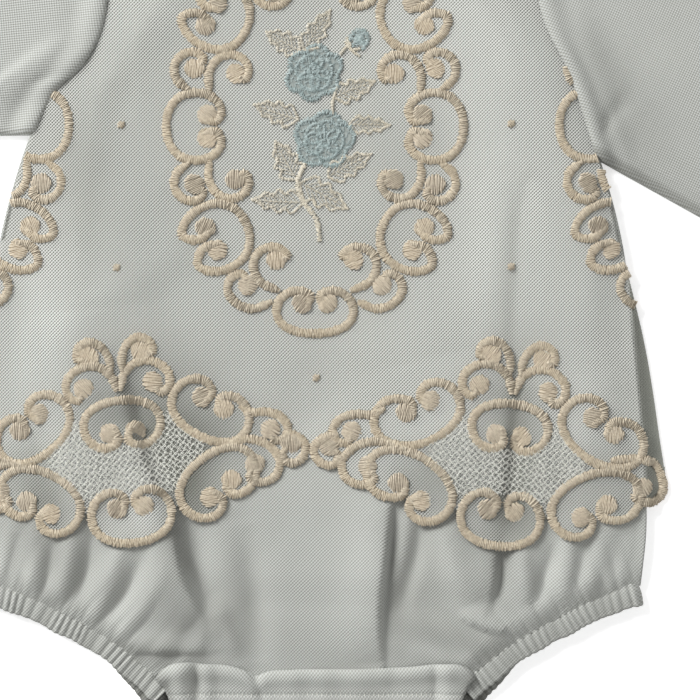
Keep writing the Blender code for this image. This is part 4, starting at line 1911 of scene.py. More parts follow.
@dataclass
class RoseSpray:
    """The spray in the medallion: two roses, a bud, a stem and leaves."""

    roses: tuple[Rose, ...] = (Rose(-0.4, 25.4, 13.6, 6, 20.0), Rose(4.4, -6.2, 14.2, 5, 65.0))
    stems: tuple[tuple[Point, ...], ...] = (
        ((-4.6, -17.5), (-8.2, -26.0), (-5.6, -35.0), (0.6, -43.4), (2.2, -53.6)),
        ((8.6, 6.0), (8.2, 11.0), (9.4, 15.5)),
        ((12.0, 34.0), (14.6, 37.4), (16.6, 39.2)),
    )
    leaves: tuple[Leaf, ...] = (
        Leaf((-5.2, 36.0), (7.4, 55.0), 10.0), Leaf((-7.0, 35.6), (-23.0, 44.6), 10.5),
        Leaf((9.0, 14.0), (28.4, 21.4), 10.5), Leaf((-8.0, 3.4), (-28.6, 10.2), 11.0),
        Leaf((16.0, 1.0), (35.4, 0.6), 8.5), Leaf((-8.6, -25.0), (-18.6, -7.0), 12.5),
        Leaf((-5.4, -35.6), (-29.6, -34.4), 11.0), Leaf((6.0, -23.6), (26.6, -12.8), 11.0),
        Leaf((-7.0, -26.4), (15.4, -38.6), 13.0),
    )
    bud: tuple[float, float, float] = (20.4, 40.6, 4.6)

    def placed(self, lines: Sequence[Array], width: float) -> list[Stroke]:
        """Strokes of one width along lines of the spray, moved to the medallion's middle."""
        return [even_stroke(line + LAYOUT.middle, width, 0.8) for line in lines]

    def parts(self) -> dict[str, list[Stroke]]:
        """Every stroke of the spray, by its thread.

        Returns:
            The strokes, by the name of their thread.
        """
        rims = [line for rose in self.roses for line in rose.rim()]
        petals = [line for rose in self.roses for line in rose.petals()]
        dx, dy = LAYOUT.middle
        knots = [dot_stroke(rose.x + dx, rose.y + dy, 1.5, 40.0) for rose in self.roses]
        filling = [line for rose in self.roses for line in rose.filling()]
        x, y, r = self.bud
        bud_rims = [
            drawn([
                (x - r, y - 1), (x - 2, y + r - 1), (x + 2.4, y + r), (x + r, y + 1),
                (x + 2, y - r),
            ]),
            drawn([(x - 2.5, y - 3), (x, y + 1.5), (x + 3, y - 2)]),
            drawn([(x - 3.0, y + 1.0), (x - 0.5, y - 0.5), (x + 2.0, y + 2.2)]),
        ]
        bud = [dot_stroke(x + dx + 0.6, y + dy + 0.2, 0.72 * r, 65.0)]
        calyx = [
            drawn([(x - 6.0, y - 0.6), (x - 4.4, y - 3.2), (x - 1.0, y - 6.4), (x + 0.6, y - 7.4)]),
            drawn([(x - 5.4, y + 1.2), (x - 3.6, y - 2.4)]),
            drawn([(x - 3.0, y - 4.6), (x + 0.6, y - 4.0)]),
        ]
        stems = [drawn(stem) for stem in self.stems]
        leaves = [side for leaf in self.leaves for side in leaf.outline()]
        veins = [vein for leaf in self.leaves for vein in leaf.veins()]
        return {
            "blue_rim": self.placed([*rims, *bud_rims], 2.5),
            "blue_petal": self.placed(petals, 2.0) + knots + bud,
            "blue_filling": self.placed(filling, 0.9),
            "cream_stem": self.placed(stems[:1], 2.6) + self.placed([*stems[1:], *calyx], 1.7),
            "cream_leaf": self.placed(leaves, 1.5),
            "cream_vein": self.placed(veins, 0.75),
        }


@dataclass
class HemLattice:
    """Loose threads that cross between the scrolls of each hem group."""

    middle: Point = (0.0, -20.0)
    spacing: float = 2.1
    reach: int = 17
    angles: tuple[float, float] = (47.0, -44.0)
    half_length: float = 44.0
    width: float = 0.95
    least_run: int = 4
    low_y: float = -34.0
    high_y: float = 4.0
    side_x: float = 37.0
    margin: float = 0.4

    def strokes(self) -> list[Stroke]:
        """The threads of both hem groups.

        Returns:
            The threads.
        """
        found = []
        along = np.linspace(-self.half_length, self.half_length, 90)
        for group in LAYOUT.hems:
            for angle in self.angles:
                for i in range(-self.reach, self.reach + 1):
                    wander = 0.35 * np.sin(along * 1.1 + 2.3 * i) + 0.25 * np.sin(along * 0.31 + i)
                    line = np.column_stack([along, i * self.spacing + wander])
                    line = turned(line, angle) + self.middle
                    for a, b in runs(self._open(line)):
                        if b - a > self.least_run:
                            thread = even_stroke(group.move(line[a:b]), self.width, 0.9)
                            found += LAYOUT.on_cloth(thread)
        return found

    def _open(self, line: Array) -> Array:
        """Which points lie between the scrolls.

        Args:
            line: Rows of x and y in a group's own space.

        Returns:
            Whether each point does.
        """
        x, y = line[:, 0], line[:, 1]
        clear = (y < self.high_y) & (y > self.low_y) & (np.abs(x) < self.side_x)
        for form in LAYOUT.hem_forms:
            if isinstance(form, Scroll):
                for flip in (False, True):
                    one = form.mirrored(flip, False)
                    own = turned(np.column_stack([x - one.x, y - one.y]), -one.facing)
                    depth = np.where(own[:, 0] > 0, one.front, one.back) - self.margin
                    half = one.half - self.margin
                    clear &= (own[:, 0] / depth) ** 2 + (own[:, 1] / half) ** 2 > 1.0
        return clear


# ---------------------------------------------------------------- knit pieces


@dataclass
class KnitBody:
    """The knit front, with its folds and gathers, and the knit back under it."""

    finishes: Finishes
    front_columns: int = 310
    back_columns: int = 80
    front_rows: tuple[int, int, int] = (86, 40, 30)
    back_rows: tuple[int, int, int] = (40, 30, 30)
    corner_lift: float = 1.05
    corner_step: tuple[float, float] = (-191.0, -193.0)
    pleat_shade: float = 0.32
    pleat_reach: float = 4.5

    def _shade(self, x: Array, y: Array) -> Array:
        """How dark the knit's painted shade is: in its hollows, and between the pleats at the
        casings.

        Args:
            x: Plan x.
            y: Plan y.

        Returns:
            The depth, from 0 to 1.
        """
        total = painted_shade_depth(x, y, KNIT_PAINTED_SHADE)
        for leg in PLAN.legs:
            distance, offset = leg.locate(x, y)
            above = np.maximum(offset - PLAN.casing_width / 2, 0.0)
            near = np.exp(-above / self.pleat_reach) * (x * leg.side.value > 0)
            total = total + self.pleat_shade * (1.0 - leg.pucker(distance)) * near
        return np.clip(total, 0.0, 1.0)

    @staticmethod
    def _levels(counts: tuple[int, int, int]) -> Array:
        """Levels of a panel's rows.

        Args:
            counts: Number of rows over the bloomers, the bodice and the shoulders.

        Returns:
            The levels, from the legs up.
        """
        low, middle, high = counts
        bloomers, bodice = np.linspace(0, 1.0, low), np.linspace(1.0, 3.0, middle)
        return np.concatenate([bloomers[:-1], bodice[:-1], np.linspace(3.0, 4.0, high)])

    def _panel(
        self, name: str, levels: Array, columns: int, neck: NeckEdge, crotch_y: float,
        height: Height,
    ) -> Piece:
        """One panel of the body.

        Args:
            name: The piece's name.
            levels: Levels of its rows, from the legs up.
            columns: Number of columns.
            neck: Its neck edge.
            crotch_y: Its crotch edge.
            height: Height of its underside at a plan point.

        Returns:
            The panel.
        """
        level, across = np.meshgrid(levels, np.linspace(-1.0, 1.0, columns), indexing="ij")
        x, y = PLAN.body(across, level, neck, crotch_y)
        points, weave = PLAN.place(x, y, height(x, y)), np.stack([x, y], axis=-1)
        faces = grid_faces(len(levels), columns)
        item = new_piece(name, points, faces, self.finishes.knit, weave, self._shade(x, y))
        thicken(item, HEIGHTS.wall)
        return item

    def _back_height(self, x: Array, y: Array) -> Array:
        """Height of the knit back's underside; its crotch corners lie on the band's turned end."""
        return HEIGHTS.back(y) + self.corner_lift * blend(*self.corner_step, y)

    def build(self) -> list[Piece]:
        """Builds both panels.

        Returns:
            The front and the back.
        """
        front = self._panel(
            "knit_front", self._levels(self.front_rows), self.front_columns,
            PLAN.front_neck, PLAN.front_crotch_y, HEIGHTS.front.at,
        )
        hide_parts("body_front")
        back = self._panel(
            "knit_back", self._levels(self.back_rows), self.back_columns,
            PLAN.back_neck, PLAN.back_crotch_y, self._back_height,
        )
        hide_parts("body_back")
        for item in (front, back):
            report(item)
        return [front, back]


@dataclass
class Sleeve:
    """One sleeve: a flat tube from the armhole to its cuff. Sizes are in millimetres."""

    name: str
    side: Side
    under: Point
    upper: Point
    folds: tuple[Fold, ...]
    edge: float = 3.2
    dome: float = 2.5
    seam: float = -0.9
    seam_rise: float = 0.7
    seam_reach: float = 22.0
    # Painted shade along the sleeve's lower edge
    lower_edge_shade: float = 0.0
    length: float = 190.0
    width: float = 78.0
    cuff_hem: float = 16.0
    least_top: float = 2.4
    pull: float = 0.45
    pull_reach: float = 14.0
    bias: float = 40.0
    stations: int = 96
    around: int = 72

    def _seam_roll(self, near: Array, drop: Array) -> Array:
        """Height that the armhole seam adds: it is caught down, then the cloth rolls over it."""
        roll = drop * np.exp(-((near / self.seam_reach) ** 1.5)) - bump(near, 0.0, 0.8)
        return roll + 0.7 * bump(near, 4.2, 3.2) - 0.8 * bump(near, 12.0, 4.5)

    def build(self, finishes: Finishes) -> Piece:
        """Builds the sleeve.

        Args:
            finishes: The romper's finishes.

        Returns:
            The sleeve.
        """
        along, turn = np.meshgrid(
            np.linspace(0, 1, self.stations) ** 1.15,
            np.linspace(0, 2 * pi, self.around, endpoint=False),
            indexing="ij",
        )
        share = 0.5 - 0.5 * np.cos(turn)
        rows = PLAN.sides(mix(3.0, 4.0, share))
        first = 2 if self.side is Side.RIGHT else 0
        side_x, side_y = rows[..., first], rows[..., first + 1]
        outward = self.side.value
        x = mix(side_x + outward * self.seam, mix(self.under[0], self.upper[0], share), along)
        y = mix(side_y, mix(self.under[1], self.upper[1], share), along)
        full = self.edge + self.dome * np.sin(pi * share)
        over = np.sin(turn)
        swell = np.where(over > 0, np.abs(over) ** 0.4, -(np.abs(over) ** 0.25))
        top = np.clip(over * 4.0, 0.0, 1.0)
        crease = sum(fold.height(x, y) for fold in self.folds)
        near = along * self.length
        pull = self.pull * np.exp(-near / self.pull_reach)
        pull = pull * np.sin(share * 30.0 + 2.0 * np.sin(near / 9.0))
        body_top = HEIGHTS.tulle.at(side_x - outward * 1.5, side_y) + self.seam_rise
        seam_roll = self._seam_roll(near, body_top - full)
        hem_roll = -0.5 * bump((1 - along) * self.length, self.cuff_hem, 0.9)
        z = full * (0.5 + 0.5 * swell) + top * (crease + pull + seam_roll + hem_roll)
        z = np.maximum(z, np.where(over > 0.2, self.least_top, HEIGHTS.wall))
        heading = degrees(atan2(self.under[1] - side_y[0, 0], self.under[0] - side_x[0, 0]))
        drop = np.maximum(full - z, 0.0) * (2.0 * share - 1.0)
        lean = atan2(self.upper[1] - self.under[1], self.upper[0] - self.under[0])
        flat = np.stack([x + drop * cos(lean), y + drop * sin(lean)], axis=-1).reshape(-1, 2)
        # Painted shade on the top layer: along the lower edge, and the knit's shade patches
        edge_shade = self.lower_edge_shade * (1.0 - blend(2.6, 5.0, share * self.width))
        shade = np.where(over > -0.1, edge_shade + painted_shade_depth(x, y, KNIT_PAINTED_SHADE), 0.0)
        faces = grid_faces(self.stations, self.around, around=True, flip=self.side is Side.LEFT)
        weave = turned(flat, self.bias - heading)
        item = new_piece(self.name, PLAN.place(x, y, z), faces, finishes.knit, weave, shade)
        thicken(item, HEIGHTS.wall, -1.0)
        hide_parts(self.name.replace("knit_", ""))
        return report(item)


@dataclass
class LegCasing:
    """An elastic casing that puckers along the leg edge, turns over and returns below."""

    leg: Leg
    step: float = 0.55
    overrun: float = 6.0
    slip: float = 3.6
    slip_run: float = 34.0
    turn_rows: int = 7
    around: int = 26

    def _section(self) -> tuple[Array, Array]:
        """The casing's section, as shares of its width and of its thickness."""
        turn = np.linspace(0, 2 * pi, self.around, endpoint=False)
        return squared(np.sin(turn), 0.75) * -0.5, squared(-np.cos(turn), 0.5) * 0.5

    def build(self, finishes: Finishes) -> Piece:
        """Builds the casing.

        Args:
            finishes: The romper's finishes.

        Returns:
            The casing.
        """
        thick, wide, length = PLAN.casing_thickness, PLAN.casing_width, self.leg.length
        low_z, high_z = thick / 2, thick * 1.5 + HEIGHTS.seam_gap
        middle, radius = (low_z + high_z) / 2, (high_z - low_z) / 2
        count = round(length / self.step)
        above_run = np.linspace(length, 0.0, count)
        below_run = np.linspace(0.0, length + self.overrun, count)
        turns = np.linspace(0, pi, self.turn_rows + 2)[1:-1]
        slipped = blend(length - self.slip_run, length, below_run)
        slip = np.concatenate([np.zeros(count + self.turn_rows), slipped])[:, None]
        tilt = np.concatenate([np.zeros(count), turns, np.full(count, pi)])[:, None]
        along = np.concatenate([above_run, -radius * np.sin(turns), below_run])[:, None]
        over = middle + radius * np.cos(turns)
        z = np.concatenate([np.full(count, high_z), over, np.full(count, low_z)])[:, None]
        across, up = self._section()
        pucker = self.leg.pucker(along + 1.1 * np.sin(along / 6.1) * (across + 0.5))
        below = np.cos(tilt) * up < 0
        seam = 0.30 * bump(across, 0.42, 0.05) + 0.16 * bump(across, -0.30, 0.04)
        full = 0.55 + 1.0 * pucker * (1.0 - 0.30 * np.abs(across)) - seam
        lift = up * thick * np.where(below, 1.0, full)
        edge = 1.0 + 0.11 * (pucker - 0.5)
        wander = 0.35 * np.sin(along / 7.7) + 0.30 * np.sin(along / 3.1 + 0.8 * np.sin(along / 7.0))
        side = across * wide * edge + wander - self.slip * slip
        x, y = self.leg.point(along - lift * np.sin(tilt), side)
        points = PLAN.place(x, y, z + lift * np.cos(tilt))
        rows, columns = points.shape[:2]
        faces = grid_faces(rows, columns, around=True)
        faces += [tuple(range(columns))[::-1], tuple(range((rows - 1) * columns, rows * columns))]
        if self.leg.side is Side.LEFT:
            faces = [face[::-1] for face in faces]
        weave = np.stack(np.broadcast_arrays(*self.leg.point(along, side)), axis=-1)
        # Painted shade: deeper between the pleats and at the seams, a painted shadow line along the
        # outer rim, and dark inside the opening where the lower layer slips out; none on the
        # underside
        rim = 0.35 * bump(across, -0.5, 0.07)
        shade = np.where(below, 0.0, 0.33 * (1.0 - pucker) + 0.6 * seam + rim + 0.62 * slip)
        name = f"leg_casing_{self.leg.side.name.lower()}"
        item = new_piece(f"gathered_{name}", points, faces, finishes.knit, weave, shade)
        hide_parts(name)
        return report(item)


BAND_EDGE = np.array([
    # x, height up the body of the band's free edge
    (-76.0, -193.0), (-73.5, -188.0), (-69.0, -184.4), (-62.0, -182.8), (-52.0, -183.6),
    (-40.0, -184.6), (-33.0, -187.0), (-28.5, -189.4), (-23.0, -187.4), (-10.0, -186.4),
    (20.0, -186.0), (44.0, -185.0), (60.0, -183.6), (69.0, -184.6), (73.5, -188.0), (76.0, -192.0),
])

BAND_LUMPS = (
    # rise, x and width of a lump; the leaning dent is CrotchBand.dent
    (1.8, -64.0, 4.0), (-1.6, -56.5, 2.2), (1.2, -51.0, 3.0), (1.3, 62.0, 3.6), (-1.0, 56.0, 1.8),
)


@dataclass
class CrotchBand:
    """The band over the front at the crotch, which turns under and ends on the back."""

    finishes: Finishes
    stitches: StitchTree
    columns: int = 90
    wall: float = 0.9
    lift: float = 1.5
    top_rows: int = 28
    turn_rows: int = 9
    under_rows: int = 5
    tucked: float = 0.9
    dent: Point = (-28.5, -190.0)
    groove_y: float = -197.5
    stitch_y: float = -197.6
    stitch_half: float = 60.0

    def _top(self, x: Array, y: Array) -> Array:
        """Height of the band's underside where it lies on the front.

        Args:
            x: Plan x.
            y: Plan y.

        Returns:
            Height in millimetres.
        """
        ripple = 0.30 * np.sin(x / 3.1 + 1.4 * np.sin(x / 13.0)) + 0.25 * np.sin(x / 7.3 + y / 5.0)
        lump = sum(rise * bump(x, middle, width) for rise, middle, width in BAND_LUMPS)
        lump = lump - 1.4 * bump(x + 0.3 * (y - self.dent[1]), self.dent[0], 2.0)
        groove = -0.55 * bump(y, self.groove_y, 0.9)
        roll = 1.5 * bump(y - self._edge(x), -3.4, 3.4)
        front = HEIGHTS.front.swollen(2).softened(3).at(x, y)
        return front + self.lift + ripple + lump + groove + roll

    @staticmethod
    def _edge(x: Array) -> Array:
        """Height up the body of the band's free edge."""
        return flowing(BAND_EDGE[:, 0], BAND_EDGE[:, 1], np.clip(x, -75.9, 75.9))

    def _rows(self) -> tuple[Array, Array, Array]:
        """The band's rows: down the front, round the fold and under the back.

        Returns:
            Plan x, y and height of each row's points.
        """
        share = np.linspace(-1, 1, self.columns)
        folded, fold_y = PLAN.band_fold_half * share, np.full(self.columns, PLAN.band_fold_y)
        radius = (float(np.max(self._top(folded, fold_y))) + 0.6) / 2
        rows = []
        for down in np.linspace(0.0, 1.0, self.top_rows):
            x = mix(PLAN.band_top_half, PLAN.band_fold_half, down) * share
            y = mix(self._edge(x), PLAN.band_fold_y, down)
            rows.append((x, y, self._top(x, y) - self.tucked * (1.0 - blend(0.0, 0.06, down))))
        last = rows[-1][2]
        for tilt in np.linspace(0, pi, self.turn_rows + 1)[1:]:
            z = mix(self.wall, last, 0.5 + 0.5 * cos(tilt))
            rows.append((folded, fold_y - radius * sin(tilt), z))
        under = np.full(self.columns, self.wall)
        for y in np.linspace(PLAN.band_fold_y, PLAN.back_crotch_y - 0.5, self.under_rows + 1)[1:]:
            rows.append((folded, np.full(self.columns, y), under))
        x, y, z = (np.array([row[i] for row in rows]) for i in range(3))
        return x, y, z

    def _weave(self, x: Array, y: Array, z: Array) -> Array:
        """The band's flat coordinates: the plan where it lies on the front, then unrolled.

        Args:
            x: Plan x of each row's points.
            y: Plan y of each row's points.
            z: Their heights.

        Returns:
            Flat x and y in millimetres.
        """
        steps = (np.diff(part, axis=0, prepend=part[:1]) for part in (y, z))
        run = np.cumsum(np.hypot(*steps), axis=0)
        unrolled = PLAN.band_fold_y - run + run[self.top_rows - 1]
        on_front = np.arange(len(y))[:, None] < self.top_rows
        return np.stack([x, np.where(on_front, y, unrolled)], axis=-1)

    def build(self) -> list[Piece]:
        """Builds the band and its row of stitches.

        Returns:
            The band and its stitches.
        """
        x, y, z = self._rows()
        ends = (1.0 - np.abs(np.linspace(-1, 1, self.columns))) * 70.0
        # Painted shade at both ends of the band and in the dip beside its left end
        shade = 0.5 * bump(ends, 0.0, 3.0) + 0.25 * bump(x, -56.5, 2.6)
        faces = grid_faces(*x.shape, flip=True)
        knit, weave = self.finishes.knit, self._weave(x, y, z)
        band = new_piece("folded_crotch_band", PLAN.place(x, y, z), faces, knit, weave, shade)
        thicken(band, self.wall)
        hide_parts("crotch_band")
        line_x = np.linspace(-self.stitch_half, self.stitch_half, 200)
        line = np.column_stack([line_x, np.full(len(line_x), self.stitch_y)])
        seam = [Stroke(line, np.full(len(line), 0.7))]
        row = self.stitches.lay(
            "band_stitches", seam, SEAM_STYLE, self.finishes.white,
            lambda a, b: self._top(a, b) + self.wall,
        )
        return [report(band), report(row)]


@dataclass
class NeckBinding:
    """The flat band round the neck: its front lies over its back, folded at each neck point."""

    finishes: Finishes
    width: float = 9.0
    thick: float = 2.2
    lift: float = 0.5
    inset: float = 0.6
    steps: int = 110
    swing_rows: int = 8
    turn_rows: int = 13
    around: int = 28

    def _edge(self, neck: NeckEdge) -> Array:
        """One neck edge, from left to right.

        Args:
            neck: The neck edge.

        Returns:
            Rows of x, y and lean.
        """
        x = np.linspace(-PLAN.neck_half, PLAN.neck_half, self.steps)
        steep = neck.power * neck.drop / PLAN.neck_half
        slope = steep * (np.abs(x) / PLAN.neck_half) ** (neck.power - 1)
        y = PLAN.neck_line(x, neck) + self.inset
        return np.column_stack([x, y, -np.sign(x) * np.arctan(slope)])

    def _corner(self, front: Array, back: Array, side: int) -> Array:
        """Rows at a neck point: the width swings to its fold, then turns under.

        Args:
            front: The front edge's last row.
            back: The back edge's row that it meets.
            side: -1 at the left neck point, 1 at the right.

        Returns:
            Rows of x, y, lean, turn and side, from front to back.
        """
        swing = mix(front, back, np.linspace(0, 1, self.swing_rows + 1)[1:, None])
        fold = np.repeat(back[None, :], self.turn_rows, axis=0)
        turns = np.linspace(0, pi, self.turn_rows + 2)[1:-1]
        turn = np.concatenate([np.zeros(self.swing_rows), turns])
        return np.column_stack([np.concatenate([swing, fold]), turn, np.full(len(turn), side)])

    def build(self) -> Piece:
        """Builds the binding.

        Returns:
            The binding.
        """
        front, back = self._edge(PLAN.front_neck), self._edge(PLAN.back_neck)[::-1]
        right = self._corner(front[-1], back[0], 1)
        left = self._corner(front[0], back[-1], -1)[::-1]
        over, under = (
            np.column_stack([rows, np.full(len(rows), turn), np.ones(len(rows))])
            for rows, turn in ((front, 0.0), (back, pi))
        )
        x, y, lean, turn, side = np.concatenate([over, right, under, left]).T[:, :, None]
        around = np.linspace(0, 2 * pi, self.around, endpoint=False)
        across = 0.5 - 0.5 * squared(np.cos(around), 0.45)
        up = 0.5 - 0.5 * squared(np.sin(around), 0.5)
        path = np.hstack([x, y])
        run = np.cumsum(np.hypot(*np.diff(path, axis=0, prepend=path[-1:]).T))[:, None]
        outside = up > 0.6
        raised = np.maximum(np.cos(turn), 0.0) * outside
        stitch = -0.30 * bump(across, 0.17, 0.035) * raised
        crown = -0.16 * (2.0 * across - 1.0) ** 2 * outside
        rib = 0.05 * np.sin(run / 3.1) * raised
        reach = self.lift / 2 + np.maximum(up + stitch + crown + rib, 0.0) * self.thick
        out = side * reach * np.sin(turn)
        width = across * self.width
        px = x + width * np.sin(lean) + out * np.cos(lean)
        py = y + width * np.cos(lean) - out * np.sin(lean)
        points = PLAN.place(px, py, self.thick + self.lift / 2 + reach * np.cos(turn))
        rows, columns = points.shape[:2]
        number = np.arange(rows * columns).reshape(rows, columns)
        beside = np.roll(number, -1, axis=1)
        corners = [number, beside, np.roll(beside, -1, axis=0), np.roll(number, -1, axis=0)]
        faces = np.stack(corners, axis=-1).reshape(-1, 4)
        weave = np.stack(np.broadcast_arrays(run, width), axis=-1)
        item = new_piece("ribbed_neck_binding", points, faces, self.finishes.rib, weave)
        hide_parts("neck_binding")
        return report(item)


# ---------------------------------------------------------------- tulle and its embroidery


@dataclass
class Overlay:
    """A tulle panel with the embroidery that is stitched on it."""

    name: str
    finishes: Finishes
    stitches: StitchTree
    front: bool
    back_z: float = 1.05
    columns: int = 150
    body_rows: int = 96
    shoulder_rows: int = 54
    core_rise: float = 0.50
    loose_radius: float = 1.75
    loose_heading: float = 40.0

    def height(self, x: Array, y: Array) -> Array:
        """Height of the net.

        Args:
            x: Plan x.
            y: Plan y.

        Returns:
            Height in millimetres.
        """
        if self.front:
            return HEIGHTS.tulle.at(x, y)
        return np.full(np.shape(x), self.back_z)

    def _levels(self) -> Array:
        """Levels of the panel's rows."""
        body = np.linspace(1.0, 3.0, self.body_rows)[:-1]
        return np.concatenate([body, np.linspace(3.0, 4.0, self.shoulder_rows)])

    def _panel(self) -> Piece:
        """The net, with its flared sides and its cut hem.

        Returns:
            The net.
        """
        neck = PLAN.front_neck if self.front else PLAN.back_neck
        flare = np.array([0.25, 0.5, 0.75, 1.0])
        inside = np.linspace(-1.0, 1.0, self.columns)
        across = np.concatenate([-1.0 - flare[::-1], inside, 1.0 + flare])
        level, share = np.meshgrid(self._levels(), across, indexing="ij")
        inner = np.clip(share, -1.0, 1.0)
        x, y = PLAN.straight(inner, level)
        x = x - inner + (share - inner) * PLAN.sides(level)[..., 4]
        y = y + PLAN.neck_bend(x, level, neck)
        hem = np.interp(x, HEM_X, HEM_Y)
        y = y + (1.0 - blend(PLAN.hem_y, PLAN.hem_bend_top, y)) * (hem - PLAN.hem_y)
        points, weave = PLAN.place(x, y, self.height(x, y)), np.stack([x, y], axis=-1)
        faces = grid_faces(*x.shape, flip=not self.front)
        return new_piece(self.name, points, faces, self.finishes.tulle, weave, self._shade(x, y))

    @staticmethod
    def _shade(x: Array, y: Array) -> Array:
        """How dark the net's painted shade is: full past the knit's sides, and partly over hollows.

        Args:
            x: Plan x.
            y: Plan y.

        Returns:
            The depth, from 0 to 1.
        """
        # Painted shadow past the knit's sides, where the net flares off it; a little painted shade
        # everywhere else
        past = np.maximum(x - PLAN.side_x(y, Side.RIGHT), PLAN.side_x(y, Side.LEFT) - x)
        painted_shade = 0.11 + painted_shade_depth(x, y, NET_PAINTED_LIGHT_AND_SHADE)
        # Painted shade low along the hem, less near the middle
        painted_shade = painted_shade + 0.12 * blend(-72.0, -92.0, y) * (1.0 - 0.5 * bump(x, 0.0, 40.0))
        return np.clip(np.maximum(blend(-0.5, 1.0, past), painted_shade), 0.0, 1.0)

    def _spray(self, above: Height) -> list[Piece]:
        """The rose spray and the loose threads along the hem.

        Args:
            above: Height that the threads lie at.

        Returns:
            The pieces.
        """
        blue, cream, white = self.finishes.blue, self.finishes.cream, self.finishes.white
        looks = {
            "blue_rim": (blue, FINE_STYLE), "blue_petal": (blue, FINE_STYLE),
            "blue_filling": (blue, WISP_STYLE), "cream_stem": (cream, STEM_STYLE),
            "cream_leaf": (cream, EDGE_STYLE), "cream_vein": (cream, WISP_STYLE),
        }
        spray, lay, pieces = RoseSpray(), self.stitches.lay, []
        for count, rose in enumerate(spray.roses, start=1):
            pieces.append(rose.ground(above, self.finishes.ground, f"front_rose_ground_{count}"))
        for label, strokes in spray.parts().items():
            material, style = looks[label]
            pieces.append(lay(f"front_{label}", strokes, style, material, above))
        pieces.append(lay("front_hem_lattice", HemLattice().strokes(), CROSS_STYLE, white, above))
        return pieces

    def build(self) -> list[Piece]:
        """Builds the net, then its cords, dots, spray and loose threads.

        Returns:
            The net and the pieces that are stitched on it.
        """
        net = self._panel()
        lift, way = (0.05, 1.0) if self.front else (0.30, -1.0)
        spread, steps = (0.86, 5) if self.front else (1.4, 4)
        cord, dot = CORD_STYLE.spread(spread, way, steps), DOT_STYLE.spread(spread, way, steps)
        prefix = "front" if self.front else "back"
        core, satin = self.finishes.core, self.finishes.satin
        lay, above = self.stitches.lay, lambda x, y: self.height(x, y) + lift
        pieces = []
        for label, forms in (("medallion", LAYOUT.medallion()), ("hem", LAYOUT.hem())):
            cords, dots = LAYOUT.strokes(forms)
            name, rise = f"{prefix}_{label}", self.core_rise * way
            pieces.append(padded_cord(f"{name}_cores", cords + dots, rise, core, above))
            pieces.append(lay(f"{name}_cords", cords, cord, satin, above))
            pieces.append(lay(f"{name}_dots", dots, dot, self.finishes.dot, above))
        if self.front:
            loose = [
                dot_stroke(x, y, self.loose_radius, self.loose_heading)
                for x, y in LAYOUT.loose_dots
            ]
            pieces.append(lay("front_loose_dots", loose, dot, satin, above))
            pieces += self._spray(above)
        for piece in pieces:
            report(piece)
        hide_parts("overlay_front" if self.front else "overlay_back")
        return [report(net), *pieces]


# ---------------------------------------------------------------- the setting


@dataclass(frozen=True)
class Lamp:
    """A square area light that points at the frame's origin. Sizes are in metres."""

    name: str
    place: tuple[float, float, float]
    size: float
    power: float

    def build(self) -> None:
        """Adds the light to the scene."""
        light = bpy.data.lights.new(self.name, "AREA")
        light.size = self.size
        light.energy = self.power
        lamp = add_object(self.name, light)
        lamp.location = self.place
        lamp.rotation_euler = (-Vector(self.place)).to_track_quat("-Z", "Y").to_euler()


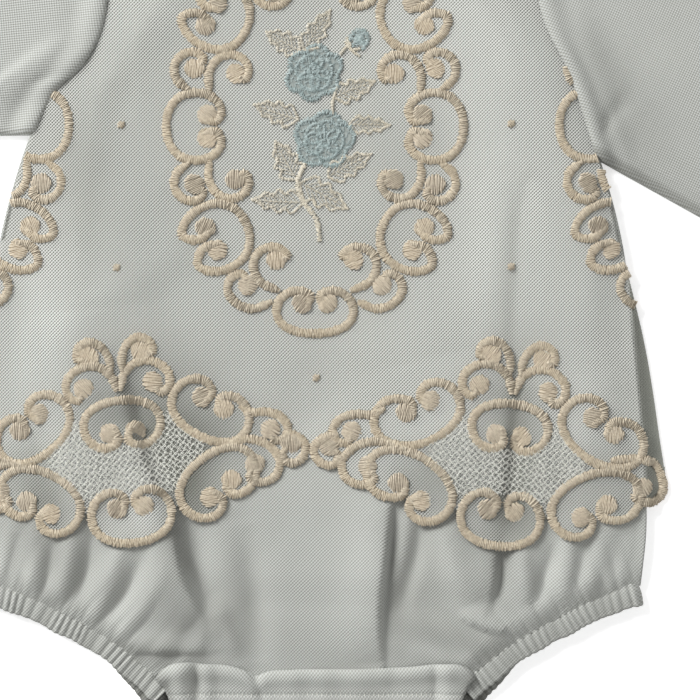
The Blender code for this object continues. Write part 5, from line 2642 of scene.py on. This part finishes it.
@dataclass
class Studio:
    """A pale floor, soft light from the upper left and a long lens straight above."""

    look_at: Point = (16.0, -35.6)
    field: float = 329.0
    distance: float = 1.9
    focus_z: float = 0.006
    sensor: float = 36.0
    floor_half: float = 1.6
    floor_drop: float = 0.0002
    floor_tones: tuple[Colour, Colour] = ((0.93, 0.93, 0.93), (0.95, 0.95, 0.95))
    glow: float = 0.46
    lamps: tuple[Lamp, ...] = (
        Lamp("key", (-2.16, 1.84, 1.84), 1.35, 150.0),
        Lamp("fill", (1.4, -0.9, 2.0), 1.6, 5.0),
    )

    def build(self) -> None:
        """Builds the floor, the lights and the camera."""
        self._floor()
        self._surround()
        for lamp in self.lamps:
            lamp.build()
        self._camera()

    def _floor(self) -> None:
        """A plain pale floor just under the cloth."""
        half, z = self.floor_half, -self.floor_drop
        points = [(-half, -half, z), (half, -half, z), (half, half, z), (-half, half, z)]
        nodes = Nodes("pale_floor")
        colour = nodes.tint(nodes.noise(3.0), *self.floor_tones)
        shader = nodes.add("ShaderNodeBsdfPrincipled", Base_Color=colour, Roughness=0.9)
        shader.inputs["Emission Color"].default_value = (1.0, 1.0, 1.0, 1.0)
        shader.inputs["Emission Strength"].default_value = self.glow
        mesh = bpy.data.meshes.new("floor")
        mesh.from_pydata(points, [], [(0, 1, 2, 3)])
        mesh.materials.append(nodes.finish(shader))
        floor = add_object("floor", mesh)

    def _surround(self) -> None:
        """An even white surround."""
        world = bpy.data.worlds.new("studio")
        world.use_nodes = True
        surround = world.node_tree.nodes["Background"]
        surround.inputs["Color"].default_value = (1.0, 1.0, 1.0, 1.0)
        surround.inputs["Strength"].default_value = self.glow
        bpy.context.scene.world = world

    def _camera(self) -> None:
        """The camera, straight above the middle of what it shows."""
        lens = bpy.data.cameras.new("camera")
        lens.sensor_width = self.sensor
        lens.lens = self.sensor * self.distance / (self.field * MM)
        lens.clip_end = 20.0
        camera = add_object("camera", lens)
        x, y, _ = PLAN.place(*self.look_at, 0.0)
        camera.location = (x, y, self.distance + self.focus_z)
        camera.rotation_euler = (0.0, 0.0, 0.0)
        bpy.context.scene.camera = camera
        bpy.context.scene.view_settings.view_transform = "Standard"


SLEEVES = (
    Sleeve("knit_sleeve_left", Side.LEFT, (-324.0, 64.0), (-319.0, 142.0), (
        Fold(((-162, 81), (-146, 91.5), (-128, 104), (-110, 115)), 2.0, 2.6, 12.0),
        Fold(((-150, 76), (-136, 82), (-120, 92)), -0.8, 5.0, 6.0),
        Fold(((-236, 116), (-200, 104), (-170, 98)), 1.4, 9.0, 12.0),
        Fold(((-290, 82), (-262, 96), (-240, 100)), -1.2, 8.0, 9.0),
    )),
    # The right sleeve has painted shade along its lower edge
    Sleeve("knit_sleeve_right", Side.RIGHT, (299.0, -38.0), (337.0, 30.0), (
        Fold(((112, 132), (126, 108), (142, 84)), 1.6, 8.0, 7.0),
        Fold(((128, 100), (144, 74), (156, 52)), -1.6, 7.0, 6.0),
        Fold(((150, 104), (176, 92), (210, 66)), 1.4, 10.0, 10.0),
        Fold((
            (131, 60), (150, 50.8), (167, 41.4), (200, 22.9), (240, 0.5), (299, -32.6),
        ), -1.6, 1.7, 3.6),
        Fold(((149, 85), (143, 79.5), (137, 72), (133, 63)), -1.7, 2.6, 2.2),
        Fold(((150, 70), (185, 48), (225, 28)), 1.3, 8.0, 7.0),
        Fold(((230, 36), (256, 22), (280, 14)), -1.2, 8.0, 9.0),
    ), lower_edge_shade=0.5),
)


def main() -> None:
    """Builds the romper piece by piece, then the studio."""
    logging.basicConfig(level=logging.INFO, format="%(message)s")
    Studio().build()
    finishes = Finishes()
    stitches = StitchTree()
    KnitBody(finishes).build()
    for sleeve in SLEEVES:
        sleeve.build(finishes)
    for leg in PLAN.legs:
        LegCasing(leg).build(finishes)
    CrotchBand(finishes, stitches).build()
    NeckBinding(finishes).build()
    Overlay("tulle_overlay_back", finishes, stitches, front=False).build()
    Overlay("tulle_overlay_front", finishes, stitches, front=True).build()


if __name__ == "__main__":
    main()
